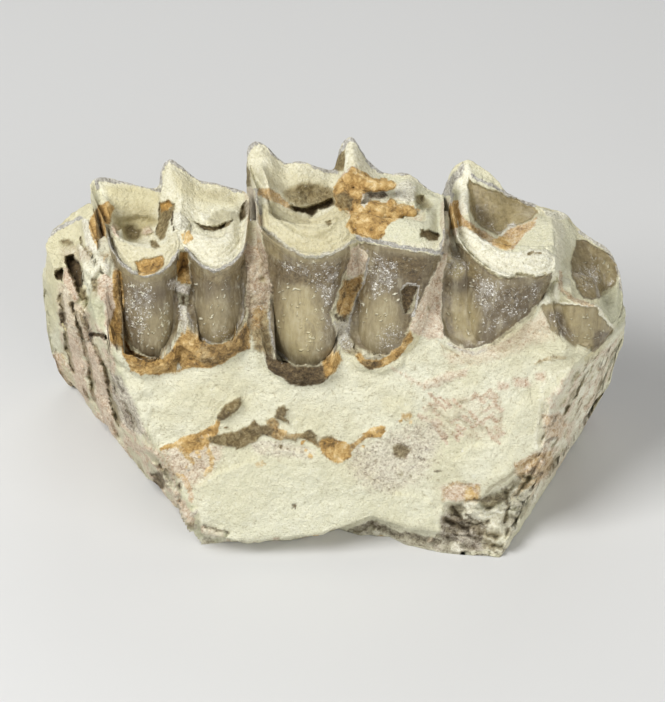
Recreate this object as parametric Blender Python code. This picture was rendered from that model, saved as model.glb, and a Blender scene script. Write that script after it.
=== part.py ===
"""Fossil oreodont jaw: three worn upper molars and a broken premolar in a block of siltstone.

The piece lies crown side up. +X runs along the tooth row towards the back of the animal,
-Y is the tongue side, which is the clean cream face, and z = 0 is the flat the block rests on.
Lengths below are millimetres; MM turns them into metres when a mesh is made.
"""

import bpy
import bmesh
import numpy as np
from mathutils import Matrix, Vector, noise

MM = 0.001
GAP = 0.3  # clearance between two pieces that touch
SHIFT = (0.05, 0.97, 0.0)  # brings the middle of the finished piece onto x = y = 0

# Plain colours of the materials
ENAMEL = (0.30, 0.27, 0.20)
SILTSTONE = (0.66, 0.64, 0.50)
DENTINE = (0.62, 0.60, 0.44)
IRON_CRUST = (0.42, 0.22, 0.06)

# Driving sizes of the block
FACE_FOOT_Y = -14.5  # the tongue-side face at z = 0
FACE_LEAN = 0.347  # how far the face leans back per millimetre of height
BLOCK_LEFT, BLOCK_RIGHT = -27.5, 27.4
BLOCK_STATIONS = 44
ROOT_FOOT = 16.5  # how deep the tooth stubs reach into the block
ROOT_TAPER = 0.97  # length of a crown at the stub against its length at the rim

# Samples around a tooth and up its wall and over its top
TOOTH_AROUND = 49
WALL_STEPS = (0.0, 0.32, 0.5, 0.68, 0.84, 0.95)
TOP_STEPS = (0.0, 0.07, 0.2, 0.38, 0.54, 0.7, 0.84)
SEAM_CELLS = 10
CRUST_CELL = 0.72  # cell size of the fused crust lump


def clear_scene():
    for obj in list(bpy.data.objects):
        bpy.data.objects.remove(obj, do_unlink=True)


def paint(obj, colour, roughness, metallic=0.0):
    mat = bpy.data.materials.new(obj.name + "_look")
    mat.use_nodes = True
    shader = mat.node_tree.nodes["Principled BSDF"]
    shader.inputs["Base Color"].default_value = (*colour, 1.0)
    shader.inputs["Roughness"].default_value = roughness
    shader.inputs["Metallic"].default_value = metallic
    obj.data.materials.append(mat)


def loft(name, rings, colour, roughness):
    """A closed skin through rings of equal point count. Points that coincide share one vertex.

    The first ring is capped by a flat face unless it has shrunk to a point; the last ring must
    have shrunk to a point or to a line that both its sides share.
    """
    bm = bmesh.new()
    known = {}
    rows = []
    for ring in rings:
        row = []
        for p in ring:
            key = tuple(round(float(c), 4) for c in p)
            if key not in known:
                known[key] = bm.verts.new(Vector(key) * MM)
            row.append(known[key])
        rows.append(row)
    for low, high in zip(rows, rows[1:]):
        for i in range(len(low)):
            j = (i + 1) % len(low)
            corners = dict.fromkeys((low[i], low[j], high[j], high[i]))
            if len(corners) > 2:
                bm.faces.new(corners)
    if len(set(rows[0])) > 2:
        cap = bm.faces.new(rows[0][::-1])
        bmesh.ops.triangulate(bm, faces=[cap], ngon_method="BEAUTY")
    bmesh.ops.holes_fill(bm, edges=[e for e in bm.edges if e.is_boundary], sides=6)
    bmesh.ops.recalc_face_normals(bm, faces=bm.faces)
    mesh = bpy.data.meshes.new(name)
    bm.to_mesh(mesh)
    bm.free()
    obj = bpy.data.objects.new(name, mesh)
    bpy.context.scene.collection.objects.link(obj)
    paint(obj, colour, roughness)
    return obj


def blend(x, a, b):
    """0 below a, 1 above b, eased between."""
    t = np.clip((np.asarray(x, float) - a) / (b - a), 0.0, 1.0)
    return t * t * (3.0 - 2.0 * t)


def along(x, points):
    """Height read from a short list of (x, value) points."""
    xs, ys = zip(*points)
    return np.interp(x, xs, ys)


def closed_outline(points, count):
    """A closed curve through the points (Catmull-Rom), with count samples."""
    p = np.asarray(points, float)
    n = len(p)
    t = np.arange(count) * n / count
    i = t.astype(int)
    f = (t - i)[:, None]
    a, b, c, d = (p[(i + k) % n] for k in (-1, 0, 1, 2))
    return 0.5 * (
        2 * b + (c - a) * f + (2 * a - 5 * b + 4 * c - d) * f**2 + (3 * b - a - 3 * c + d) * f**3
    )


# Crown rims, seen from above: tongue side first, left to right, then back along the cheek side.
# Each point is (x, y, z).
FIRST_RIM = (
    (-21.6, 3.2, 27.9), (-20.9, 0.4, 28.0), (-20.2, -2.4, 28.1), (-19.0, -4.5, 28.1),
    (-17.6, -5.6, 28.1), (-16.1, -5.7, 28.2), (-14.8, -4.7, 28.3), (-14.0, -2.6, 28.5),
    (-13.4, -2.7, 28.6), (-12.6, -4.3, 28.7), (-11.6, -5.5, 28.8), (-10.2, -5.9, 28.8),
    (-9.0, -5.1, 28.8), (-8.2, -3.2, 28.8), (-7.9, 0.0, 28.7), (-7.8, 3.4, 28.3),
    (-7.9, 6.6, 27.4), (-8.8, 8.2, 26.8), (-10.8, 8.6, 27.2), (-12.7, 8.9, 27.5),
    (-14.0, 9.1, 28.7), (-15.3, 9.2, 29.7), (-16.1, 9.0, 28.7), (-16.6, 8.6, 26.8),
    (-18.2, 8.7, 26.9), (-20.0, 8.8, 27.4), (-22.0, 8.6, 28.0), (-22.8, 7.4, 27.8),
)
SECOND_RIM = (
    (-7.1, 4.0, 30.2), (-7.0, 1.0, 30.5), (-6.8, -1.8, 30.7), (-5.4, -4.3, 30.9),
    (-3.5, -5.9, 31.0), (-1.3, -6.4, 31.1), (0.7, -6.0, 31.2), (2.0, -4.1, 31.3),
    (2.9, -4.3, 31.4), (4.4, -5.7, 31.5), (6.9, -6.3, 31.5), (8.9, -6.2, 31.2),
    (10.0, -4.9, 30.8), (10.3, -2.4, 30.5), (10.3, 0.8, 30.0), (10.4, 4.0, 28.8),
    (10.3, 7.2, 27.0), (9.1, 8.3, 26.8), (7.2, 9.1, 28.0), (5.0, 9.5, 27.8),
    (3.4, 10.1, 28.8), (1.9, 10.8, 31.0), (0.8, 10.6, 30.2), (0.1, 9.9, 28.0),
    (-1.2, 9.8, 28.3), (-3.0, 10.0, 28.8), (-4.6, 10.0, 28.7), (-6.0, 10.2, 30.2),
    (-7.2, 10.3, 31.0), (-8.0, 10.1, 30.3), (-8.0, 9.3, 29.4), (-7.6, 7.2, 29.2),
)
THIRD_RIM = (
    (11.0, 3.4, 29.2), (11.2, 0.4, 29.2), (11.6, -2.1, 29.1), (12.7, -4.2, 29.0),
    (14.1, -5.8, 28.9), (15.9, -6.6, 28.8), (17.7, -6.6, 28.5), (19.4, -5.8, 28.0),
    (20.4, -4.2, 27.4), (20.8, -3.4, 26.2), (21.2, -5.0, 25.0), (22.6, -5.9, 24.8),
    (24.1, -5.7, 24.3), (25.2, -5.2, 22.9), (26.0, -4.2, 20.8), (26.9, -1.8, 19.8),
    (27.4, 1.0, 19.6), (27.1, 3.6, 20.7), (26.2, 5.2, 21.9), (24.7, 6.2, 22.4),
    (23.2, 7.1, 23.1), (22.2, 7.6, 24.3), (20.6, 7.9, 24.7), (18.6, 8.2, 25.3),
    (16.6, 8.5, 26.2), (15.2, 9.1, 27.8), (13.8, 9.4, 28.8), (12.7, 9.5, 29.4),
    (11.5, 9.3, 28.7), (10.9, 7.6, 28.6), (10.9, 5.6, 29.0),
)


def tooth_rings(rim, grow, middle_y, pits, lean, valley, flare):
    """Rings from the root stub up the wall to the rim, then inward over the worn top.

    middle_y is the line the top rings close on, pits are the (x, z) of the hollow floor along
    that line, lean is how far the roots shift sideways at each x, and valley is the (x, depth)
    of the groove between the two tongue-side columns. flare moves the tongue-side roots outward.
    """
    r = closed_outline(rim, TOOTH_AROUND)
    x0, x1 = r[:, 0].min(), r[:, 0].max()
    mid_x = (x0 + x1) / 2
    cheek = blend(r[:, 1], -1.0, 6.0)
    base = r.copy()
    base[:, 0] = mid_x + (r[:, 0] - mid_x) * ROOT_TAPER + along(r[:, 0], lean)
    base[:, 1] = r[:, 1] + 1.3 * cheek - flare * (1 - cheek)
    base[:, 1] += valley[1] * np.exp(-(((r[:, 0] - valley[0]) / 0.9) ** 2)) * (1 - cheek)
    base[:, 2] = ROOT_FOOT - grow
    out = r[:, :2] - np.column_stack([np.clip(r[:, 0], x0 + 4, x1 - 4), np.full(len(r), middle_y)])
    out /= np.linalg.norm(out, axis=1)[:, None]
    corner = r[np.argmin(r[:, 0] - 0.5 * r[:, 1])]
    style = np.exp(-(((r[:, :2] - corner[:2]) ** 2).sum(axis=1)) / 1.6**2)
    rings = []
    for s in WALL_STEPS:
        p = base + (r - base) * s
        belly = (0.3 + 0.8 * style) * np.sin(np.pi * min(1.0, s * 1.05))
        p[:, :2] += out * (belly + grow)[:, None]
        rings.append(p)
    centre = np.column_stack([np.clip(r[:, 0], x0 + 3, x1 - 3), np.full(len(r), middle_y)])
    floor = along(centre[:, 0], pits)
    steep = cheek * blend(r[:, 0], x0, x0 + 2.5) * (1 - blend(r[:, 0], x1 - 2.5, x1))
    for t in TOP_STEPS:
        p = r.copy()
        p[:, :2] += (centre - r[:, :2]) * t + (out * grow if t == 0 else 0.0)
        tongue_side = 0.35 * blend(t, 0.03, 0.2) - 0.25 * blend(t, 0.2, 0.5) + blend(t, 0.55, 0.84)
        cheek_side = 0.15 * blend(t, 0.0, 0.1) + 0.85 * blend(t, 0.08, 0.7)
        drop = tongue_side * (1 - steep) + cheek_side * steep
        p[:, 2] = r[:, 2] + (floor - r[:, 2]) * np.clip(drop, 0, 1) + grow
        rings.append(p)
    cell = (x1 - x0 - 6) / SEAM_CELLS
    seam_x = x0 + 3 + np.round((centre[:, 0] - x0 - 3) / cell) * cell
    rings.append(np.column_stack([seam_x, centre[:, 1], along(seam_x, pits) + grow]))
    return rings


# The corner where the right-hand face begins, and how fast that face falls back, by height.
RIGHT_CORNER = ((0, 15.9), (5, 17.7), (9.3, 19.6), (15, 20.3), (18.6, 22.2), (21, 24.4), (30, 26))
RIGHT_SLOPE = ((0, 2.05), (12, 1.5), (20, 1.2))


def front_y(x, z):
    """The tongue-side skin of the block: a leaning plane cut off by a slanted face at each end."""
    plane = FACE_FOOT_Y + FACE_LEAN * z
    past_left = -12.6 - 0.39 * z - x
    hollow = (1.0 + 2.0 * np.exp(-np.abs(past_left) / 3.0)) * (1 - blend(z, 0.0, 7.0))
    left = np.where(past_left > 0, plane + 1.65 * past_left + hollow, plane)
    right = plane + along(z, RIGHT_SLOPE) * (x - along(z, RIGHT_CORNER))
    return np.maximum(plane, np.maximum(left, right))


def gum_z(x):
    """Upper edge of the matrix and crust in front of the crowns: a U under each column."""
    return along(x, (
        (-28.2, 17.0), (-27.0, 19.5), (-24.0, 20.5), (-22.8, 22.5), (-22.2, 25.0), (-20.8, 25.4),
        (-20.5, 22.6), (-19.8, 20.9), (-17.8, 19.9), (-15.6, 20.2), (-14.6, 21.6), (-14.1, 22.8),
        (-13.5, 22.4), (-12.4, 21.6), (-10.8, 21.4), (-9.0, 21.8), (-8.0, 23.0), (-6.7, 22.6),
        (-6.0, 20.4), (-4.6, 19.5), (-1.4, 19.3), (-0.2, 20.0), (0.6, 21.6), (1.2, 21.6),
        (2.2, 20.6), (4.4, 20.0), (6.4, 20.8), (7.4, 22.6), (8.6, 24.4), (9.8, 23.6),
        (10.6, 21.6), (12.0, 20.7), (13.4, 20.8), (15.4, 22.4), (17.4, 24.0), (19.4, 25.6),
        (20.2, 24.6), (20.8, 22.2), (22.4, 20.4), (24.8, 19.6), (26.2, 19.2), (27.6, 18.6),
    ))


# Hardened mud between the crowns: (left edge, right edge, top) at each filled gap.
FILLS = (
    (-22.8, -20.6, 26.4), (-15.1, -13.2, 26.2), (-8.8, -6.0, 28.4), (0.2, 3.0, 29.6),
    (6.8, 11.0, 28.8), (19.6, 22.0, 25.4),
)
RIDGE = ((-27.8, 18.5), (-24, 20.5), (-20, 21), (23.5, 20.6), (25.4, 18.8), (27.4, 17.2))


def fill_z(x):
    """Top of the filling between two crowns or lobes; low inside the crowns, where it is cut away."""
    low = along(x, RIDGE)
    top = low
    for left, right, height in FILLS:
        inside = blend(x, left - 0.6, left) * (1 - blend(x, right, right + 0.6))
        top = np.maximum(top, low + (height - low) * inside)
    return top


def collar(x, z):
    """Thickness of the raised mineral crust under the first and second molars."""
    top = gum_z(x)
    under_first = blend(x, -20.6, -19.4) * (1 - blend(x, -8.8, -7.6))
    under_second = blend(x, -7.2, -6.2) * (1 - blend(x, -0.2, 0.8))
    under_second_rear = blend(x, 1.6, 2.6) * (1 - blend(x, 6.2, 7.2)) * 0.6
    amount = np.maximum(under_first, np.maximum(under_second, under_second_rear))
    return 0.7 * amount * blend(z, top - 2.2, top - 1.2)


def relief(x, y, z):
    """Lumps of a millimetre or so, the same at every run."""
    p = Vector((x * 0.22 + 3.1, y * 0.22 - 1.7, z * 0.22 + 8.3))
    q = Vector((x * 0.62, y * 0.62, z * 0.62))
    return 0.75 * noise.noise(p) + 0.32 * noise.noise(q)


# The cheek-side bone swells over a root at each of these x.
ROOT_SWELLINGS = (-20.5, -15.6, -10.4, -4.6, 1.4, 7.4, 13.2, 18.4, 23.0)

# The slices of the block, as (x, value): how far the foot is set back under the front lip, the
# height of that lip, the height of the foot, and the cheek side at the foot, middle and gum.
UNDERCUT = ((-13.5, 2.0), (-10, 2.5), (-4, 2.7), (-1, 3.6), (0.5, 4.2), (2.5, 3.4), (5.5, 3.2),
            (7, 2.1), (10, 1.1), (13, 0.7), (16, 0.4), (18, 0.0))
LIP = ((-14, 2.8), (-12, 2.5), (-8, 1.8), (-4, 2.3), (-1, 2.7), (1.5, 3.5), (3.7, 4.4), (5.0, 3.8),
       (7, 3.1), (10, 2.8), (16, 2.6))
FOOT = ((-27.8, 6.5), (-27.2, 2.6), (-26.6, 0.8), (-26.2, 0.0), (24.9, 0.0), (25.6, 3.5),
        (26.4, 8.5), (27.4, 13.0))
CHEEK_FOOT = ((-27.8, 9.8), (-26, 11.2), (-22, 10.6), (-8, 9.2), (6, 9.6), (20, 9.2), (27.4, 7.2))
CHEEK_BULGE = ((-27.8, 9.9), (-26, 11.4), (-22, 11.6), (-15, 11.8), (-8, 11.0), (1, 12.0),
               (10, 11.0), (20, 10.8), (27.4, 7.6))
CHEEK_GUM = ((-27.8, 17.5), (-24, 19.0), (10, 18.6), (24, 17.4), (27.4, 16.6))


def block_ring(x):
    """One slice of the block across X: flat foot, tongue side, top and cheek side."""
    foot_z = float(along(x, FOOT))
    lip_z = float(along(x, LIP))
    undercut = float(along(x, UNDERCUT))
    back_foot = float(along(x, CHEEK_FOOT))
    back_bulge = float(along(x, CHEEK_BULGE))
    back_top = float(along(x, CHEEK_GUM))
    gum = float(gum_z(x))
    fill = max(float(fill_z(x)), gum + 0.6)
    low = max(lip_z, foot_z + 1.0)
    front_limit = back_foot - 1.2
    ends = float(blend(-x, 12, 18) + blend(x, 17, 21))
    ring = []
    front_foot = min(float(front_y(x, foot_z)) + undercut, front_limit)
    for t in (0.92, 0.5, 0.08):
        ring.append((x, front_foot + (back_foot - front_foot) * t, foot_z))
    for z, share in ((foot_z, 1.0), (foot_z + 0.5 * (low - foot_z), 0.85)):
        ring.append((x, min(float(front_y(x, z)) + undercut * share, front_limit), z))
    for t in np.linspace(0, 1, 12):
        z = low + (gum - low) * t
        y = float(front_y(x, z)) - float(collar(x, z))
        chipped = blend(x, 8 + 0.9 * z, 11 + 0.9 * z) * (1 - blend(z, 5.0, 9.0))
        broken = 0.9 * float(chipped * blend(x, 8.6, 11.0))
        rough = relief(x, y, z) * (0.3 + 0.7 * ends)
        ring.append((x, min(y + rough + broken, front_limit), z))
    for t in (0.0, 0.35, 0.7, 1.0):
        z = gum + 0.15 + (fill - gum - 0.15) * t
        y = float(front_y(x, z)) + 1.0 + 0.4 * t * t
        ring.append((x, min(y + 0.4 * relief(x, y, z), front_limit), z))
    top_front_y = ring[-1][1]
    fall = float(along(x, ((-21.0, -0.05), (-19.0, 0.45), (18.0, 0.45), (20.0, 0.1))))
    for t in (0.15, 0.35, 0.6, 0.85):
        y = top_front_y + (back_bulge - 1.2 - top_front_y) * t
        z = fill + (back_top - fill) * float(blend(t, fall, fall + 0.45))
        ring.append((x, y, z + 0.3 * relief(x, y, z)))
    swelling = sum(np.exp(-(((x - root) / 1.3) ** 2)) for root in ROOT_SWELLINGS)
    for t in (0.0, 0.2, 0.42, 0.65, 0.86, 1.0):
        z = back_top + (foot_z - back_top) * t
        y = back_foot + (back_bulge - back_foot) * float(np.sin(np.pi * min(1.0, 0.12 + 0.9 * t)))
        if 0 < t < 1:
            y += 0.6 * relief(x, y, z) + 0.5 * float(swelling) * (1 - t)
        ring.append((x, y, z))
    return ring


def closing_rings(ring, step):
    """An end ring shrunk to a point in two steps, which rounds the end off by step millimetres."""
    ring = np.asarray(ring)
    middle = ring.mean(axis=0)
    steps = ((0.6, 0.7), (0.0, 1.0))
    return [middle + (ring - middle) * size + (step * out, 0, 0) for size, out in steps]


def make_block():
    xs = set(np.linspace(BLOCK_LEFT, BLOCK_RIGHT, BLOCK_STATIONS).round(2))
    for left, right, _ in FILLS:
        xs = {x for x in xs if min(abs(x - left), abs(x - right)) > 0.35}
        xs |= {left - 0.55, left, right, right + 0.55}
    rings = [block_ring(float(x)) for x in sorted(xs)]
    rings = closing_rings(rings[0], -0.4)[::-1] + rings + closing_rings(rings[-1], 0.4)
    return loft("jaw_block", rings, SILTSTONE, 0.85)


def bake(obj):
    """Makes the modifiers' result the object's own mesh."""
    graph = bpy.context.evaluated_depsgraph_get()
    made = bpy.data.meshes.new_from_object(obj.evaluated_get(graph))
    obj.modifiers.clear()
    obj.data = made


def subtract(obj, cutter):
    """Takes the cutter's shape out of the object."""
    cut = obj.modifiers.new("cut", "BOOLEAN")
    cut.operation = "DIFFERENCE"
    cut.solver = "EXACT"
    cut.object = cutter
    bake(obj)


def keep_largest_body(obj):
    """Drops the crumbs a cut can leave beside the main body."""
    bm = bmesh.new()
    bm.from_mesh(obj.data)
    left = set(bm.verts)
    bodies = []
    while left:
        stack = [left.pop()]
        body = set(stack)
        while stack:
            for edge in stack.pop().link_edges:
                for vert in edge.verts:
                    if vert not in body:
                        body.add(vert)
                        stack.append(vert)
        left -= body
        bodies.append(body)
    bodies.sort(key=len)
    for body in bodies[:-1]:
        bmesh.ops.delete(bm, geom=list(body), context="VERTS")
    bm.to_mesh(obj.data)
    bm.free()


FIRST_TOP = dict(
    middle_y=2.9,
    pits=((-21.0, 26.0), (-19.2, 24.4), (-17.0, 24.6), (-15.4, 26.6), (-14.2, 27.2), (-13.0, 26.4),
          (-11.0, 26.0), (-9.4, 26.2), (-8.2, 26.6)),
    lean=((-22, 0.9), (-20, 0.3), (-17, 0.0), (-14, 0.2), (-8, -0.2)),
    valley=(-13.7, 2.6),
    flare=1.0,
)
SECOND_TOP = dict(
    middle_y=2.4,
    pits=((-7, 28.6), (-4.5, 27.4), (-2.0, 26.4), (0.2, 27.2), (2.0, 29.0), (4.2, 28.6),
          (6.5, 28.2), (8.2, 27.8), (10, 28.4)),
    lean=((-8, 0.6), (-5, 0.3), (0, -0.7), (2.5, -1.5), (7, -2.2), (10, -2.6)),
    valley=(2.3, 3.2),
    flare=1.0,
)
THIRD_TOP = dict(
    middle_y=2.2,
    pits=((11, 27.6), (13.5, 25.4), (16.5, 24.6), (19.0, 25.6), (20.6, 26.0), (22.5, 23.0),
          (24.0, 21.6), (26, 20.2)),
    lean=((11, -0.4), (15, -1.6), (19, -2.2), (20.8, -1.8), (22, -1.5), (27, -1.4)),
    valley=(20.8, 1.6),
    flare=0.1,
)


def make_teeth():
    made = []
    for name, rim, top in (
        ("first_molar", FIRST_RIM, FIRST_TOP),
        ("second_molar", SECOND_RIM, SECOND_TOP),
        ("third_molar", THIRD_RIM, THIRD_TOP),
    ):
        tooth = loft(name, tooth_rings(rim, 0.0, **top), ENAMEL, 0.3)
        cutter = loft(name + "_cutter", tooth_rings(rim, GAP, **top), ENAMEL, 0.3)
        made.append((tooth, cutter))
    return made


PREMOLAR_RIM = (
    (-26.2, 0.6, 24.6), (-25.3, -1.6, 24.0), (-24.0, -3.0, 23.8), (-22.7, -3.6, 24.8),
    (-21.9, -2.2, 26.2), (-21.8, 0.2, 27.0), (-22.1, 2.8, 27.6), (-22.6, 5.2, 27.6),
    (-23.8, 6.0, 26.4), (-25.1, 5.5, 25.4), (-26.3, 4.2, 25.0), (-26.8, 2.4, 24.6),
)


PREMOLAR_CENTRE = (-24.4, 1.4)
PREMOLAR_FOOT = 17.5
PREMOLAR_FLOOR = 22.6  # bottom of the hollow in the broken crown
PREMOLAR_DROPS = ((0.0, 0.0), (0.16, 0.1), (0.34, 1.3), (0.6, 2.2))  # (share inward, depth)


def premolar_rings(grow):
    """Rings of the broken crown: a slightly swollen wall, then inward and down into its hollow."""
    r = closed_outline(PREMOLAR_RIM, 30)
    centre = np.array(PREMOLAR_CENTRE)
    foot = PREMOLAR_FOOT - grow
    out = r[:, :2] - centre
    out /= np.linalg.norm(out, axis=1)[:, None]
    rings = []
    for s in (0.0, 0.4, 0.75, 0.95):
        p = r.copy()
        p[:, :2] = centre + (r[:, :2] - centre) * (0.86 + 0.14 * s)
        p[:, :2] += out * (grow + 0.3 * np.sin(np.pi * s))
        p[:, 2] = foot + (r[:, 2] - foot) * s
        rings.append(p)
    for t, drop in PREMOLAR_DROPS:
        p = r.copy()
        p[:, :2] += (centre - r[:, :2]) * t + (out * grow if t == 0 else 0.0)
        p[:, 2] += (PREMOLAR_FLOOR + 2.3 - r[:, 2]) * t - drop + grow
        rings.append(p)
    rings.append(np.tile((*PREMOLAR_CENTRE, PREMOLAR_FLOOR + grow), (len(r), 1)))
    return rings


def make_premolar():
    """The stump of the fourth premolar, highest beside the first molar, and its cutter."""
    stump = loft("broken_premolar", premolar_rings(0.0), DENTINE, 0.6)
    cutter = loft("premolar_cutter", premolar_rings(GAP), DENTINE, 0.6)
    return stump, cutter


# Each lump of the crust: (centre, radii).
CRUST_LUMPS = (
    ((1.6, 5.9, 30.6), (1.5, 2.2, 1.3)), ((3.6, 5.4, 31.2), (2.2, 1.0, 0.8)),
    ((5.3, 5.1, 31.2), (1.3, 0.8, 0.6)), ((2.4, 2.6, 30.4), (1.8, 2.4, 1.4)),
    ((4.4, 1.4, 30.6), (2.2, 1.3, 1.2)), ((6.6, 2.0, 30.8), (1.5, 1.0, 1.0)),
    ((3.2, -0.4, 30.8), (1.5, 1.4, 1.0)),
)


def make_iron_crust():
    """The iron-stained mineral lump that sits over the second molar, with a finger pointing back."""
    bm = bmesh.new()
    for centre, size in CRUST_LUMPS:
        made = bmesh.ops.create_icosphere(bm, subdivisions=3, radius=1.0)["verts"]
        for vert in made:
            c = Vector(centre)
            vert.co = (c + Vector(vert.co[i] * size[i] for i in range(3))) * MM
    mesh = bpy.data.meshes.new("iron_crust")
    bm.to_mesh(mesh)
    bm.free()
    obj = bpy.data.objects.new("iron_crust", mesh)
    bpy.context.scene.collection.objects.link(obj)
    fuse = obj.modifiers.new("fuse", "REMESH")
    fuse.mode = "VOXEL"
    fuse.voxel_size = CRUST_CELL * MM
    paint(obj, IRON_CRUST, 0.85)
    bake(obj)
    return obj


def main():
    clear_scene()
    teeth = make_teeth()
    premolar, premolar_cutter = make_premolar()
    block = make_block()
    crust = make_iron_crust()
    cutters = [cutter for _, cutter in teeth] + [premolar_cutter]
    for cutter in cutters:
        subtract(block, cutter)
    subtract(crust, cutters[1])
    subtract(premolar, cutters[0])
    keep_largest_body(block)
    keep_largest_body(crust)
    for cutter in cutters:
        bpy.data.objects.remove(cutter, do_unlink=True)
    for obj in bpy.data.objects:
        obj.data.transform(Matrix.Translation(Vector(SHIFT) * MM))


main()
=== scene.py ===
"""Fossil oreodont jaw, dressed: three worn upper molars, a broken premolar and an iron crust in siltstone.

Lengths are millimetres in the frame of the solids, before SHIFT brings the middle onto x = y = 0.
"""
import math

import bpy
import numpy as np
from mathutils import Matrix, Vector


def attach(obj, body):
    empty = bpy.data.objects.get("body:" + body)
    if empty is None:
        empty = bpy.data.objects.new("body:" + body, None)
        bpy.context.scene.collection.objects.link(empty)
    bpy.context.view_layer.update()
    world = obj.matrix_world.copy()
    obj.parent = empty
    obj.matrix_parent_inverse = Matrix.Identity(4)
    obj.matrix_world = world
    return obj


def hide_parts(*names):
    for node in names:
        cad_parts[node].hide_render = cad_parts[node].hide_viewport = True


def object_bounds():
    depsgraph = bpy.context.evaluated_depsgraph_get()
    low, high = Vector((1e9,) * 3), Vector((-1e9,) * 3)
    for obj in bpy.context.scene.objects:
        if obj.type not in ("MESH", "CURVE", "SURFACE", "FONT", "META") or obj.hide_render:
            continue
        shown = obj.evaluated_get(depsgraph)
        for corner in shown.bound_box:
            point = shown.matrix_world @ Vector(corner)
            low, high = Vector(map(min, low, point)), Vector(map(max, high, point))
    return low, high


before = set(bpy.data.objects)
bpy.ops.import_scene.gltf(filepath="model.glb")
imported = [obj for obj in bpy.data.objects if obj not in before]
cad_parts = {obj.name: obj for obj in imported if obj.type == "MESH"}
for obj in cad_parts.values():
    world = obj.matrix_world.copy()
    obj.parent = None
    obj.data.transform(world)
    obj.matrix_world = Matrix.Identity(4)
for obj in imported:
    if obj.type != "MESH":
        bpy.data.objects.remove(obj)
cad_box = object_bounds()

# The view. The fossil is looked at from the tongue side and 42 degrees above, from 32 cm away.
# Its markings are laid out on a drawing that faces this view: one drawing unit is 0.0953 mm, a
# runs to the right and b runs down. The camera stands where the drawing is seen square on.
MM = 0.001  # one millimetre in metres
METRE = 1000.0  # one metre in millimetres
SHIFT = np.array([0.05, 0.97, 0.0])
UNIT = 0.0953
VIEW_TILT = math.radians(42.0)
VIEW_FAR = 320.0
VIEW_AIM = np.array([0.0, 0.0, 13.7])
DRAWING_MIDDLE = (332.5, 351.0)
DRAWING_HEIGHT = 702
SENSOR = 36.0
TOWARD = np.array([0.0, -math.cos(VIEW_TILT), math.sin(VIEW_TILT)])
UPWARD = np.array([0.0, math.sin(VIEW_TILT), math.cos(VIEW_TILT)])
EYE = VIEW_AIM + TOWARD * VIEW_FAR

lens = bpy.data.cameras.new("view")
lens.sensor_width = SENSOR
lens.lens = SENSOR * VIEW_FAR / (UNIT * DRAWING_HEIGHT)
lens.clip_start = 0.01
eye = bpy.data.objects.new("view", lens)
eye.location = Vector((EYE + SHIFT) * MM)
eye.rotation_euler = (math.radians(90.0) - VIEW_TILT, 0.0, 0.0)
bpy.context.scene.collection.objects.link(eye)
bpy.context.scene.camera = eye
bpy.context.scene.view_settings.view_transform = "Standard"


# The siltstone block with the jaw bone in it: hard cream mud that buried the jaw, split clean across
# on the tongue side and broken at both ends. It is one skin through slices across x, in a dull mottled
# finish. Its stains and ledges are marks on one drawing for all pieces, as stains run on to the teeth.
def drawn(p):
    """Where points fall on the drawing: their offset from the eye, divided by their depth."""
    q = p - EYE
    scale = VIEW_FAR / UNIT / -(q @ TOWARD)
    return DRAWING_MIDDLE[0] + q[:, 0] * scale, DRAWING_MIDDLE[1] - (q @ UPWARD) * scale


# Each mark is an outline or a line on the drawing, with a lift towards the viewer in millimetres
# and the share of each tone it brings. The finish reads the tones four at a time.
TONES = (
    "enamel", "tan", "chalk", "ochre",
    "dark", "pink", "lilac", "fleck",
    "olive", "band", "grit", "green",
)
MARKS = []


def area(points, soft=1.5, lift=0.0, layers=None, fibres=None, **tones):
    """A closed outline, its edge soft units wide on each side.

    layers = (spacing, height) adds tinted growth lines that follow its edge, and
    fibres = (angle, spacing, height, tint) adds torn ridges that run at that angle, tinted pink
    on their crests and with painted shade in their troughs.
    """
    MARKS.append((True, np.array(points, float), soft, lift, layers, fibres, tones))


def stroke(points, half=1.5, lift=0.0, **tones):
    """An open line, half units wide on each side, easing off over as much again."""
    MARKS.append((False, np.array(points, float), half, lift, None, None, tones))


def edge_distance(a, b, points, closed):
    """Distance to a line of points; inside a closed one it counts positive, outside negative.

    For each straight piece: the offset from its start minus the offset's share along it.
    A point is inside where a ray to the right crosses the outline an odd number of times.
    """
    ends = np.roll(points, -1, axis=0) if closed else points[1:]
    starts = points if closed else points[:-1]
    nearest = np.full(a.shape, 1e9)
    inside = np.zeros(a.shape, bool)
    for (x0, y0), (x1, y1) in zip(starts, ends):
        dx, dy = x1 - x0, y1 - y0
        t = np.clip(((a - x0) * dx + (b - y0) * dy) / (dx * dx + dy * dy + 1e-9), 0.0, 1.0)
        nearest = np.minimum(nearest, (a - x0 - t * dx) ** 2 + (b - y0 - t * dy) ** 2)
        if closed and y0 != y1:
            inside ^= ((y0 > b) != (y1 > b)) & (a < x0 + (b - y0) * dx / dy)
    nearest = np.sqrt(nearest)
    return np.where(inside, nearest, -nearest) if closed else nearest


def ease(x, low, high):
    """0 below low, 1 above high, and a smooth S between: t squared times (3 - 2t)."""
    t = np.clip((np.asarray(x, float) - low) / (high - low), 0.0, 1.0)
    return t * t * (3.0 - 2.0 * t)


def along(x, points):
    """A value read off a short list of (place, value), straight between them."""
    places, values = zip(*points)
    return np.interp(x, places, values)


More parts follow.
